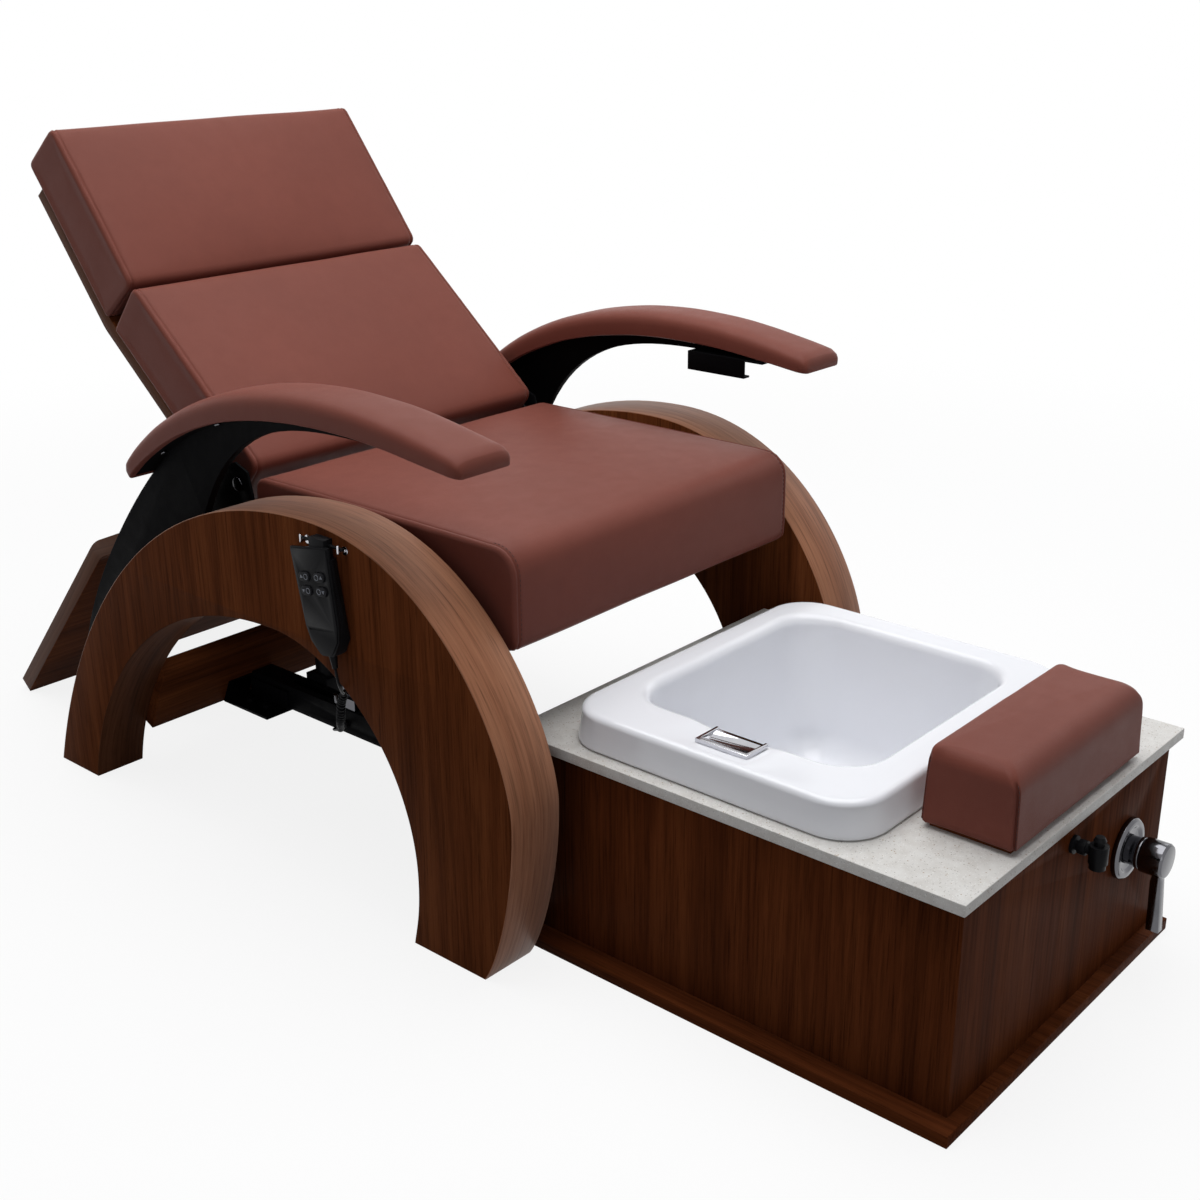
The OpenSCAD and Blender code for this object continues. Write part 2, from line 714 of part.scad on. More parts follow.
module cabinet_sides() {
    pair() box(cab_w / 2 - panel_t, cab_w / 2, cab_front_y + panel_t, cab_back_y, plinth_t, cab_top);
}

module cabinet_front() {
    difference() {
        box(-cab_w / 2, cab_w / 2, cab_front_y, cab_front_y + panel_t, plinth_t, cab_top);
        translate([mixer_x, cab_front_y - 1, mixer_z]) rotate([-90, 0, 0])
            cylinder(d = mixer_hole_d, h = panel_t + 2);
        translate([fitting_x, cab_front_y - 1, fitting_z]) rotate([-90, 0, 0])
            cylinder(d = fitting_stub_d + 1, h = panel_t + 2);
    }
}

waste_z = 42;
waste_d = 40;
waste_sleeve = 46;
inlet_x = -80;
inlet_dx = 60;
inlet_d = 21;
inlet_body_d = 26;
module cabinet_back() {
    difference() {
        box(-cab_w / 2 + panel_t, cab_w / 2 - panel_t, cab_back_y - panel_t, cab_back_y, plinth_t, cab_top);
        translate([bowl_x, cab_back_y + 1, waste_z]) rotate([90, 0, 0])
            cylinder(d = waste_sleeve + 2, h = panel_t + 2);
        for (k = [0, 1]) translate([inlet_x - k * inlet_dx, cab_back_y + 1, inlet_z]) rotate([90, 0, 0])
            cylinder(d = inlet_body_d + 2, h = panel_t + 2);
    }
}

module countertop() {
    difference() {
        box(-cab_w / 2 - slab_over, cab_w / 2 + slab_over, cab_front_y - slab_front, cab_back_y + slab_back,
            cab_top, slab_top);
        translate([bowl_x, bowl_y, cab_top - 1]) linear_extrude(slab_t + 2)
            round_rect(bowl_w + 2 * basin_wall + 4, bowl_l + 2 * basin_wall + 4, bowl_r + basin_wall + 2);
    }
}

// ---------- basin ----------
// Half section of the bowl: floor, floor fillet, sloping wall and rounded lip
function bowl_section(o) =
    let (low = bowl_floor - o, foot = bowl_r - bowl_slope + o)
    concat([[0, low]], [[max(foot - bowl_floor_r * 0.35, 1), low]],
        [[foot + bowl_slope * 0.03, low + bowl_floor_r * 0.2]],
        [[foot + bowl_slope * 0.09, low + bowl_floor_r * 0.7]]);

module bowl_cavity() {
    profile = concat(bowl_section(0), [[bowl_r, rim_top - lip_r]],
        [for (a = [15:15:90]) [bowl_r + lip_r * (1 - cos(a)), rim_top - lip_r + lip_r * sin(a)]],
        [[bowl_r + lip_r, rim_top + 2], [0, rim_top + 2]]);
    translate([bowl_x, bowl_y, 0]) pan(bowl_w, bowl_l, bowl_r, profile, bowl_floor, rim_top + 2);
}

module basin() {
    outer = concat([[0, slab_top], [rim_r, slab_top]],
        [for (a = [0:15:90]) [rim_r - rim_edge_r + rim_edge_r * cos(a),
            rim_top - rim_edge_r + rim_edge_r * sin(a)]],
        [[0, rim_top]]);
    bowl = concat(bowl_section(basin_wall), [[bowl_r + basin_wall, slab_top + 1], [0, slab_top + 1]]);
    in_r = rim_r - basin_wall;
    difference() {
        union() {
            translate([0, basin_y, 0]) pan(basin_w, basin_l, rim_r, outer, slab_top, rim_top);
            translate([bowl_x, bowl_y, 0])
                pan(bowl_w, bowl_l, bowl_r, bowl, bowl_floor - basin_wall, slab_top + 1);
        }
        bowl_cavity();
        difference() {
            translate([0, basin_y, slab_top - 1]) linear_extrude(rim_h - basin_wall + 1)
                round_rect(basin_w - 2 * basin_wall, basin_l - 2 * basin_wall, in_r);
            translate([bowl_x, bowl_y, slab_top - 2]) linear_extrude(rim_h + 2)
                round_rect(bowl_w + 2 * basin_wall + 2 * lip_r, bowl_l + 2 * basin_wall + 2 * lip_r,
                    bowl_r + basin_wall + lip_r);
        }
        translate([bowl_x, bowl_y, bowl_floor - basin_wall - 1])
            cylinder(d = drain_hole_d, h = basin_wall + 2);
        box(spout_x - 3, bowl_x - bowl_w / 2 + 4, spout_y - 4, spout_y + spout_l + 22, rim_top - 3,
            rim_top + 1);
        box(spout_x + 12, spout_x + spout_w - 12, spout_y + 20, spout_y + spout_l - 20, slab_top, rim_top);
    }
}

module drain_flange() {
    translate([bowl_x, bowl_y, 0]) difference() {
        union() {
            translate([0, 0, bowl_floor])
                cylinder(d1 = drain_hole_d + 2 * flange_lip, d2 = drain_hole_d + 4, h = flange_t);
            translate([0, 0, bowl_floor - tailpiece_l])
                cylinder(d = drain_hole_d - 2 * gap, h = tailpiece_l + 1);
        }
        translate([0, 0, bowl_floor - tailpiece_l - 1]) cylinder(d = drain_hole_d - 8, h = tailpiece_l + 14);
    }
}

module drain_stopper() {
    translate([bowl_x, bowl_y, 0]) {
        translate([0, 0, bowl_floor - 4]) cylinder(d = drain_hole_d - 10, h = 6);
        translate([0, 0, bowl_floor + 2]) cylinder(d1 = drain_hole_d - 10, d2 = drain_hole_d - 14, h = 2);
        translate([0, 0, bowl_floor - 40]) cylinder(d = 8, h = 40);
    }
}

// Bottle trap under the drain with its outlet through the cabinet's back
trap_top = bowl_floor - tailpiece_l;
trap_low = waste_z - 24;
spigot_l = 24;
module drain_trap() {
    translate([bowl_x, bowl_y, 0]) difference() {
        union() {
            translate([0, 0, trap_low]) cylinder(d = 64, h = trap_top - trap_low);
            translate([0, 0, waste_z]) rotate([-90, 0, 0])
                cylinder(d = waste_sleeve, h = cab_back_y - bowl_y);
            translate([0, 0, waste_z]) rotate([-90, 0, 0])
                cylinder(d = waste_d, h = cab_back_y + spigot_l - bowl_y);
        }
        translate([0, 0, trap_low + 4]) cylinder(d = 56, h = trap_top - trap_low);
        translate([0, 0, waste_z]) rotate([-90, 0, 0])
            cylinder(d = waste_d - 6, h = cab_back_y + 60 - bowl_y);
    }
}

// ---------- taps ----------
spout_w = 42;
spout_l = 74;
spout_x = bowl_x - bowl_w / 2 - 57;
spout_y = bowl_y - 52.5;
spout_sunk = 3;
spout_rise = 2.5;
dish_r = 38;
dish_depth = 4;
// Rectangular waterfall spout let into the deck, dished and open towards the bowl
module water_spout() {
    low = rim_top - spout_sunk;
    top = rim_top + spout_rise;
    difference() {
        union() {
            box(spout_x, spout_x + spout_w, spout_y, spout_y + spout_l, low, top);
            box(spout_x + 14, spout_x + spout_w - 14, spout_y + 22, spout_y + spout_l - 22, slab_top + 6,
                low);
        }
        translate([spout_x + spout_w / 2 + 2, spout_y + 4, top + dish_r - dish_depth]) rotate([-90, 0, 0])
            cylinder(r = dish_r, h = spout_l - 8);
        box(spout_x + spout_w - 6, spout_x + spout_w + 1, spout_y + 4, spout_y + spout_l - 4,
            top - dish_depth + 1.5, top + 1);
    }
}

// Shapes round the mixer's axis, with the distance out of the cabinet as height
module on_mixer() {
    translate([mixer_x, cab_front_y, mixer_z]) rotate([90, 0, 0]) children();
}

flange_h = 9;
body_d = 36;
body_end = 25;
stem_r = 7;
stem_l = 14;
module mixer_flange() {
    on_mixer() difference() {
        rotate_extrude() polygon([[0, 0], [flange_d / 2, 0], [flange_d / 2, flange_h - 3],
            [flange_d / 2 - 3, flange_h], [flange_d / 2 - 9, flange_h],
            [flange_d / 2 - 13, flange_h - 3], [0, flange_h - 3]]);
        translate([0, 0, -1]) cylinder(d = body_d + 2 * gap, h = flange_h + 2);
    }
}

module mixer_body() {
    on_mixer() rotate_extrude() polygon([[0, -panel_t], [15, -panel_t], [15, 0], [body_d / 2, 0],
        [body_d / 2, body_end - 7], [body_d / 2 + 2, body_end - 6], [body_d / 2 + 2, body_end - 1],
        [body_d / 2, body_end], [stem_r, body_end], [stem_r, body_end + stem_l], [0, body_end + stem_l]]);
}

module mixer_valve() {
    translate([mixer_x, cab_front_y + panel_t, mixer_z]) rotate([-90, 0, 0]) cylinder(d = 54, h = 46);
    for (s = [-1, 1]) translate([mixer_x, cab_front_y + panel_t + 24, mixer_z]) rotate([0, s * 90, 0])
        cylinder(d = inlet_d, h = 44);
}

knob_z0 = body_end + gap;
knob_end = 55;
lever_w = 12;
module mixer_handle() {
    knob_y = cab_front_y - knob_end;
    low = mixer_z - knob_d / 2;
    on_mixer() difference() {
        rotate_extrude() polygon([[0, knob_z0], [knob_d / 2 - 1, knob_z0], [knob_d / 2, knob_z0 + 1],
            [knob_d / 2, knob_end - 3], [knob_d / 2 - 2, knob_end], [0, knob_end]]);
        translate([0, 0, knob_z0 - 1]) cylinder(r = stem_r + fit, h = stem_l + 2);
    }
    // Lever: a flat bar that widens and leans out to its lower end
    translate([mixer_x - lever_w / 2, 0, 0]) rotate([90, 0, 90]) linear_extrude(lever_w)
        polygon([[knob_y + 5, low + 4], [knob_y + 15, low + 4], [knob_y + 17, low - 8],
            [knob_y + 15, mixer_z - lever_l], [knob_y - 1, mixer_z - lever_l], [knob_y + 4, low - 6]]);
}

// Black hose elbow on the cabinet's front: stub, knurled nut, body with a cap and a hose bore below
fitting_x = mixer_x - 154;
fitting_z = 243;
fitting_out = 31;
hose_d = 12;
hose_depth = 13;
module hose_fitting() {
    translate([fitting_x, cab_front_y, fitting_z]) rotate([90, 0, 0]) {
        translate([0, 0, -panel_t]) cylinder(d = fitting_stub_d, h = panel_t);
        cylinder(d = 22, h = 4);
        cylinder(d = 12, h = fitting_out);
        translate([0, 0, 8]) cylinder(d = 18, h = 9, $fn = 10);
    }
    translate([fitting_x, cab_front_y - fitting_out, fitting_z - 20]) difference() {
        union() {
            cylinder(d = hose_d + 7, h = 8);
            translate([0, 0, 7]) cylinder(d = 22, h = 22);
            translate([0, 0, 29]) cylinder(d = 12, h = 7);
            translate([0, 0, 35]) cylinder(d1 = 15, d2 = 10, h = 5);
        }
        translate([0, 0, -1]) cylinder(d = hose_d, h = hose_depth + 1);
    }
}

// Threaded stubs through the cabinet's back, each held by a nut on the inside
inlet_z = 150;
inlet_in = 40;
inlet_out = 16;
inlet_bore = 15;
nut_t = 4;
module water_inlets() {
    for (k = [0, 1]) translate([inlet_x - k * inlet_dx, cab_back_y - panel_t - inlet_in, inlet_z])
        rotate([-90, 0, 0]) difference() {
            union() {
                cylinder(d = inlet_body_d, h = inlet_in + panel_t);
                cylinder(d = inlet_d, h = inlet_in + panel_t + inlet_out);
                translate([0, 0, inlet_in - nut_t]) cylinder(d = inlet_body_d + 9, h = nut_t, $fn = 6);
            }
            translate([0, 0, -1]) cylinder(d = inlet_bore, h = inlet_in + panel_t + inlet_out + 4);
        }
}

// ---------- footrest ----------
foot_basin_gap = 16;
foot_front_y = basin_front_y - foot_basin_gap - foot_l;
foot_board_t = 6;
module footrest_board() {
    box(-foot_w / 2 + 8, foot_w / 2 - 8, foot_front_y + 8, foot_front_y + foot_l - 8, slab_top,
        slab_top + foot_board_t);
}

module footrest_cushion() {
    translate([0, foot_front_y + foot_l / 2, slab_top + foot_board_t])
        cushion(foot_w, foot_l, foot_t - 4, corner = 14, edge = 24, crown = 5, draw = 2, seam = 6);
}

// ---------- handset ----------
// Local frame of the handset: origin at the middle of its top edge, back face at z = 0 towards -X
module on_handset() {
    translate([hand_back_x, hand_top[0], hand_top[1]]) rotate([hand_tilt, 0, 0]) rotate([90, 0, -90])
        children();
}

// Seen from the front: x runs to the handset's right, y up
module hand_outline(o = 0) {
    a = hand_w / 2 - o;
    b = hand_w / 2 - 4 - o;
    l = hand_l - o;
    polygon([[a, -o], [b, -hand_l * 0.72], [b - 5, -hand_l * 0.86], [b - 17, -l + 3], [b - 22, -l],
        [-b + 22, -l], [-b + 17, -l + 3], [-b + 5, -hand_l * 0.86], [-b, -hand_l * 0.72], [-a, -o]]);
}

module button_shape(o = 0) {
    square([button_w - button_h, button_h + 2 * o], center = true);
    for (s = [-1, 1]) translate([s * (button_w - button_h) / 2, 0]) circle(button_h / 2 + o);
}

// Back shell: its sides slope in towards the arch, and it ends short of the hooks
module handset_back() {
    t = hand_t - cover_t;
    on_handset() difference() {
        linear_extrude(t) hand_outline();
        translate([-hand_w, -16, -1]) cube([2 * hand_w, 30, t + 2]);
        translate([0, 0, t - 5]) linear_extrude(10) polygon([[28, -30], [28, -66], [-28, -66], [-28, -30]]);
        for (s = [-1, 1]) rotate([90, 0, 0]) linear_extrude(hand_l + 1)
            polygon([[s * (hand_w / 2 - hand_side_taper), -1], [s * (hand_w / 2 + 2), -1],
                [s * (hand_w / 2 + 2), t], [s * hand_w / 2, t]]);
    }
    // Hanger block with a cross pin that rests in the two hooks
    box(hand_back_x - t, hand_back_x, hook_y - 14, hook_y + 14, hand_top[1] - 22, pin_z + 8);
    translate([pin_x, hook_y - hook_dy - 5, pin_z]) rotate([-90, 0, 0])
        cylinder(d = pin_d, h = 2 * hook_dy + 10);
    // Strain relief of the cord, below
    on_handset() translate([0, -hand_l, hand_t / 2]) rotate([90, 0, 0])
        cylinder(d1 = 11, d2 = 7, h = sleeve_l);
}

module handset_cover() {
    on_handset() translate([0, 0, hand_t - cover_t]) difference() {
        union() {
            linear_extrude(cover_t - 2) hand_outline(0.01);
            linear_extrude(cover_t) hand_outline(2);
        }
        for (x = [-1, 1], y = [-1, 1]) translate([x * button_dx, button_z + y * button_dz, -1])
            linear_extrude(cover_t + 2) button_shape(gap);
        translate([-24, -hand_l * 0.76, cover_t - 1]) cube([48, 2.4, 2]);
    }
}

// Push button: at full travel it still stands a little proud of the cover
button_proud = 0.5;
module button(x, y) {
    on_handset() translate([x * button_dx, button_z + y * button_dz, hand_t - cover_t])
        linear_extrude(cover_t + button_travel + button_proud) button_shape(0);
}

// Two chrome hooks on the arch's outer face: a round foot, an arm under the pin and an upturned end
module handset_hooks() {
    reach = -arch_x - post_x;
    for (s = [-1, 1]) translate([-arch_x, hook_y + s * hook_dy, hook_z]) rotate([0, -90, 0]) {
        cylinder(d = 11, h = 1.5);
        cylinder(d = hook_d, h = reach);
        translate([0, 0, reach]) sphere(d = hook_d);
        translate([0, 0, reach]) rotate([0, 90, 0]) cylinder(d = hook_d, h = post_h);
        translate([post_h, 0, reach]) sphere(d = hook_d);
    }
}

// ---------- curly cord ----------
function route(t) =
    let (n = len(cord_route) - 3, u = min(max(t, 0), n - 0.0001), i = floor(u), f = u - i,
        p0 = cord_route[i], p1 = cord_route[i + 1], p2 = cord_route[i + 2], p3 = cord_route[i + 3])
    0.5 * (2 * p1 + (p2 - p0) * f + (2 * p0 - 5 * p1 + 4 * p2 - p3) * f * f
        + (3 * p1 - p0 - 3 * p2 + p3) * f * f * f);
// The route again, by the length run along it
route_n = 400;
route_t = [for (i = [0:route_n]) (len(cord_route) - 3) * i / route_n];
route_at = [for (t = route_t) route(t)];
route_s = [for (i = 0, s = 0; i <= route_n; s = s + norm(route_at[min(i + 1, route_n)] - route_at[i]),
    i = i + 1) s];
by_length = [for (i = [0:route_n]) [route_s[i], route_t[i]]];
route_l = route_s[route_n];
curly_l = route_l - cord_lead - cord_tail;
cord_s = concat([for (i = [0:7]) cord_lead * i / 8],
    [for (i = [0:curls * curl_rings]) cord_lead + curly_l * i / (curls * curl_rings)],
    [for (i = [1:8]) cord_lead + curly_l + cord_tail * i / 8]);
function turns_at(s) = curls * min(max((s - cord_lead) / curly_l, 0), 1);
function curl_share(s) = let (p = turns_at(s)) min(1, p, curls - p);
side_ref = [0, 1, 1];
cord_axis = [for (s = cord_s)
    let (t = lookup(s, by_length), d = unit(route(t + 0.01) - route(t - 0.01)),
        n = unit(cross(d, side_ref)), b = cross(n, d), a = 360 * turns_at(s))
    [route(t), n * cos(a) + b * sin(a)]];
cord_line = [for (i = [0:len(cord_s) - 1])
    cord_axis[i][0] + cord_axis[i][1] * curl_share(cord_s[i]) * (curl_d - cord_d) / 2];
half_curl = curl_rings / 2;
cord_n = len(cord_line) - 1;
cord_gap = min([for (i = [0:cord_n - half_curl], k = [half_curl:min(2 * curl_rings, cord_n - i)])
    norm(cord_line[i + k] - cord_line[i])]) - cord_d;
steps = [for (i = [1:len(cord_line) - 1]) norm(cord_line[i] - cord_line[i - 1])];
cord_l = steps * [for (s = steps) 1];

module handset_cord() {
    m = len(cord_line);
    rings = [for (i = [0:m - 1])
        let (d = unit(cord_line[min(i + 1, m - 1)] - cord_line[max(i - 1, 0)]),
            e1 = unit(cord_axis[i][1] - d * (cord_axis[i][1] * d)), e2 = cross(d, e1))
        [for (k = [0:cord_sides - 1])
            cord_line[i] + cord_d / 2 * (e1 * cos(-360 * k / cord_sides)
                + e2 * sin(-360 * k / cord_sides))]];
    skin(rings, cord_line[0], cord_line[m - 1]);
}

module cord_gland() {
    translate([rail_x - rail_s / 2, gland_y, gland_z]) rotate([0, -90, 0]) {
        cylinder(d = 13, h = 4, $fn = 6);
        cylinder(d1 = 11, d2 = 7, h = gland_l);
    }
}

// ---------- fasteners ----------
module pad_screws() {
    for (s = [-1, 1], back = [66, 266, 466, 596]) {
        y = pad_front[0] + back;
        slope = atan2(lookup(y + 5, strip_line) - lookup(y - 5, strip_line), 10);
        translate([s * (arch_mid + 20), y, lookup(y, strip_line) - 0.2]) rotate([slope, 0, 0])
            translate([0, 0, -3]) cylinder(d = 9, h = 3);
    }
}

bolt_first = 75;
bolt_pitch = 120;
module frame_bolts() {
    for (s = [-1, 1], k = [0:2])
        translate([s * (arch_in - rail_wall), seat_rail_y - bolt_first - k * bolt_pitch,
            seat_rail_z + angle_s / 2])
            rotate([0, -s * 90, 0]) cylinder(d = 13, h = 5, $fn = 6);
    for (back = [26, 66])
        translate([rail_x - rail_s / 2 - 25, rail_rear_y - back, frame_z]) cylinder(d = 14, h = 9, $fn = 6);
}

color(walnut) mirror([1, 0, 0]) side_arch();  // side_arch_right
color(walnut) side_arch();  // side_arch_left
color(steel_black) mirror([1, 0, 0])  // armrest_support_right
    armrest_support();
color(steel_black) armrest_support();  // armrest_support_left
color(leather) mirror([1, 0, 0]) armrest_pad();  // armrest_pad_right
color(leather) armrest_pad();  // armrest_pad_left
color(steel_black) tray_bracket();
color(walnut) rear_stretcher();
color(walnut) rear_leg_panel();
color(steel_black) front_crossbar();
color(steel_black) rear_crossbar();
color(steel_black) seat_rails();
color(steel_black) seat_crossbars();
color(walnut) seat_board();
color(leather) seat_cushion();
color(steel_black) hinge_plates();
color(chrome) hinge_pins();
color(walnut) back_panel();
color(leather) back_cushion_upper();
color(leather) back_cushion_lower();
color(steel_black) back_brackets();
color(steel_black) back_crank();
color(steel_black) drive_rail();
color(steel_black) drive_bracket();
color(plastic_black) drive_motor();
color(chrome) drive_slider();
color(plastic_black) control_box();
color(walnut) plinth_board();
color(walnut) cabinet_sides();
color(walnut) cabinet_front();
color(walnut) cabinet_back();
color(quartz) countertop();
color(white_gloss) basin();
color(chrome) drain_flange();
color(chrome) drain_stopper();
color(white_gloss) drain_trap();
color(chrome) water_spout();
color(chrome) mixer_flange();
color(chrome) mixer_body();
color(chrome) mixer_valve();
color(chrome) mixer_handle();
color(plastic_black) hose_fitting();
color(chrome) water_inlets();
color(walnut) footrest_board();
color(leather) footrest_cushion();
color(chrome) handset_hooks();
color(plastic_black) handset_back();
color(plastic_black) handset_cover();
color(chrome) button(-1, 1);  // button_back_up
color(chrome) button(-1, -1);  // button_back_down
color(chrome) button(1, 1);  // button_heat
color(chrome) button(1, -1);  // button_massage
color(plastic_black) handset_cord();
color(plastic_black) cord_gland();
color(chrome) pad_screws();
color(steel_black) frame_bolts();
echo(cord_self_gap = cord_gap, cord_length = cord_l, curly_part = curly_l);
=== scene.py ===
import json
import math

import bmesh
import bpy
from mathutils import Matrix, Vector, noise
from mathutils.geometry import tessellate_polygon

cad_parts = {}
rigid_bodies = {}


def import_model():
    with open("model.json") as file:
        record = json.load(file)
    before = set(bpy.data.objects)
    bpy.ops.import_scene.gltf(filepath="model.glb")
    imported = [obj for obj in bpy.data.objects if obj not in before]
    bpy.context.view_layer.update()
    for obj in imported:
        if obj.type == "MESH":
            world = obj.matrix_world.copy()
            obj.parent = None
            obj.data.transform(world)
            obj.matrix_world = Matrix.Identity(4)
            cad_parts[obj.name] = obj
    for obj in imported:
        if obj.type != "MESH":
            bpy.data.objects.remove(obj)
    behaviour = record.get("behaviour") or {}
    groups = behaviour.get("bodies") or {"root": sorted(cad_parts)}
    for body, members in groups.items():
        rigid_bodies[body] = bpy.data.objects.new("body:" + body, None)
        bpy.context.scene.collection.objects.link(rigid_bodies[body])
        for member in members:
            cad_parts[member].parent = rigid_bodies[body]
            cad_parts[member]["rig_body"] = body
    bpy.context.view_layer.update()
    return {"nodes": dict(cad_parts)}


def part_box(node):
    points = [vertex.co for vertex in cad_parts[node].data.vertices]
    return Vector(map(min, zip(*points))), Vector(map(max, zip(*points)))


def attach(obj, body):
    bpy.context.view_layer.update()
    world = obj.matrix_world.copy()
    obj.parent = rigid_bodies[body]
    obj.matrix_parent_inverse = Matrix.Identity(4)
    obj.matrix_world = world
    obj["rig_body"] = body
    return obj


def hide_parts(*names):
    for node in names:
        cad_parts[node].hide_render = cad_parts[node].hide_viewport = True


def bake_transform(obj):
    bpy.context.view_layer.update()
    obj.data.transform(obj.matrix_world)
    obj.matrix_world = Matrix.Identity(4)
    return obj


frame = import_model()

MM = 0.001


def add(name, data):
    """A new object in the scene."""
    thing = bpy.data.objects.new(name, data)
    bpy.context.scene.collection.objects.link(thing)
    return thing


# ---------- node trees ----------
class Nodes:
    """Short calls for building a node tree."""

    def __init__(self, tree):
        self.nodes = tree.nodes
        self.links = tree.links

    def put(self, kind, inputs=None, **settings):
        """Adds a shader node of a kind; an input is either a socket to link or a value."""
        node = self.nodes.new("ShaderNode" + kind)
        for key, value in settings.items():
            setattr(node, key, value)
        for key, value in (inputs or {}).items():
            if isinstance(value, bpy.types.NodeSocket):
                self.links.new(value, node.inputs[key])
            else:
                node.inputs[key].default_value = value
        return node

    def math(self, operation, a, b):
        return self.put("Math", {0: a, 1: b}, operation=operation).outputs[0]

    def grey(self, value, low=0.0, high=1.0, start=0.3, end=0.7, kind="LINEAR"):
        """low to high while the value goes from start to end."""
        inputs = {"Value": value, "From Min": start, "From Max": end, "To Min": low, "To Max": high}
        return self.put("MapRange", inputs, interpolation_type=kind).outputs["Result"]

    def seen_directly(self):
        """1 for camera, mirror and glass rays, 0 for the light that falls on the object."""
        path = self.put("LightPath").outputs
        mirrored = self.math("MAXIMUM", path["Is Camera Ray"], path["Is Glossy Ray"])
        return self.math("MAXIMUM", mirrored, path["Is Transmission Ray"])


# ---------- camera, lamps, floor ----------
CAM_PLACE = Vector((-1.5673, -1.5481, 1.1560))
CAM_YAW = math.radians(48.775)
CAM_PITCH = math.radians(20.875)
CAM_ROLL = math.radians(-0.395)
CAM_LENS, CAM_SENSOR = 48.52, 36.0
CAM_NEAR, CAM_FAR = 0.05, 2000
LAMPS = {   # place, target, size and watts
    "over": ((0.1, 0.1, 3.2), (0, 0, 0.4), (3.0, 3.0), 103),
    "front": ((-2.6, -3.0, 2.0), (0, -0.2, 0.4), (2.4, 1.6), 11),
    "side": ((3.2, -0.8, 2.0), (0, 0, 0.4), (1.8, 1.6), 12),
}
WHITE = (1, 1, 1, 1)
WORLD_GREY = (0.50, 0.51, 0.54, 1)
WORLD_STRENGTH = 0.36
FLOOR_HALF = 600
FLOOR_SEEN = (0.96, 0.96, 0.96, 1)
FLOOR_BOUNCE = (0.36, 0.35, 0.35, 1)
FLOOR_GLOW = 0.86           # share of plain white in the floor's look near the object
FADE_FROM, FADE_TO = 1.1, 3.4   # distances over which the floor turns wholly white


def make_camera():
    """The photograph's view: yaw from +Y towards +X, pitch down, a slight roll."""
    view = Vector((math.sin(CAM_YAW) * math.cos(CAM_PITCH), math.cos(CAM_YAW) * math.cos(CAM_PITCH),
                   -math.sin(CAM_PITCH)))
    level = Vector((math.cos(CAM_YAW), -math.sin(CAM_YAW), 0))
    up = level.cross(view)
    right = level * math.cos(CAM_ROLL) + up * math.sin(CAM_ROLL)
    up = up * math.cos(CAM_ROLL) - level * math.sin(CAM_ROLL)
    data = bpy.data.cameras.new("camera")
    data.lens = CAM_LENS
    data.sensor_width = CAM_SENSOR
    data.sensor_fit = "HORIZONTAL"
    data.clip_start = CAM_NEAR
    data.clip_end = CAM_FAR
    camera = add("camera", data)
    rows = [(right[i], up[i], -view[i]) for i in range(3)]
    camera.matrix_world = Matrix.Translation(CAM_PLACE) @ Matrix(rows).to_4x4()
    bpy.context.scene.camera = camera


def make_lamp(name, place, target, size, power):
    data = bpy.data.lights.new(name, "AREA")
    data.shape = "RECTANGLE"
    data.size, data.size_y = size
    data.energy = power
    lamp = add(name, data)
    lamp.location = place
    lamp.rotation_euler = (Vector(target) - Vector(place)).to_track_quat("-Z", "Y").to_euler()


def make_world():
    """A soft grey light that camera, mirror and glass rays see as plain white."""
    world = bpy.data.worlds.new("studio")
    world.use_nodes = True
    world.node_tree.nodes.clear()
    n = Nodes(world.node_tree)
    soft = n.put("Background", {"Color": WORLD_GREY, "Strength": WORLD_STRENGTH})
    white = n.put("Background", {"Color": WHITE})
    mix = n.put("MixShader", {0: n.seen_directly(), 1: soft.outputs[0], 2: white.outputs[0]})
    n.put("OutputWorld", {"Surface": mix.outputs[0]})
    bpy.context.scene.world = world


def make_floor():
    """A pale floor that keeps the object's shadow and melts into the white background."""
    mesh = bpy.data.meshes.new("floor")
    corners = [(x * FLOOR_HALF, y * FLOOR_HALF, 0) for x, y in ((-1, -1), (1, -1), (1, 1), (-1, 1))]
    mesh.from_pydata(corners, [], [(0, 1, 2, 3)])
    floor = add("floor", mesh)
    material = bpy.data.materials.new("floor")
    material.use_nodes = True
    material.node_tree.nodes.clear()
    n = Nodes(material.node_tree)
    seen = n.seen_directly()
    tone = n.put("Mix", {0: seen, 6: FLOOR_BOUNCE, 7: FLOOR_SEEN}, data_type="RGBA")
    cover = n.put("BsdfDiffuse", {"Color": tone.outputs[2]})
    glow = n.put("Emission", {"Color": WHITE})
    place = n.put("TexCoord").outputs["Object"]
    away = n.put("VectorMath", {0: place}, operation="LENGTH").outputs["Value"]
    fade = n.grey(away, FLOOR_GLOW, 1.0, FADE_FROM, FADE_TO, "SMOOTHSTEP")
    share = n.math("MULTIPLY", seen, fade)
    mix = n.put("MixShader", {0: share, 1: cover.outputs[0], 2: glow.outputs[0]})
    n.put("OutputMaterial", {"Surface": mix.outputs[0]})
    mesh.materials.append(material)


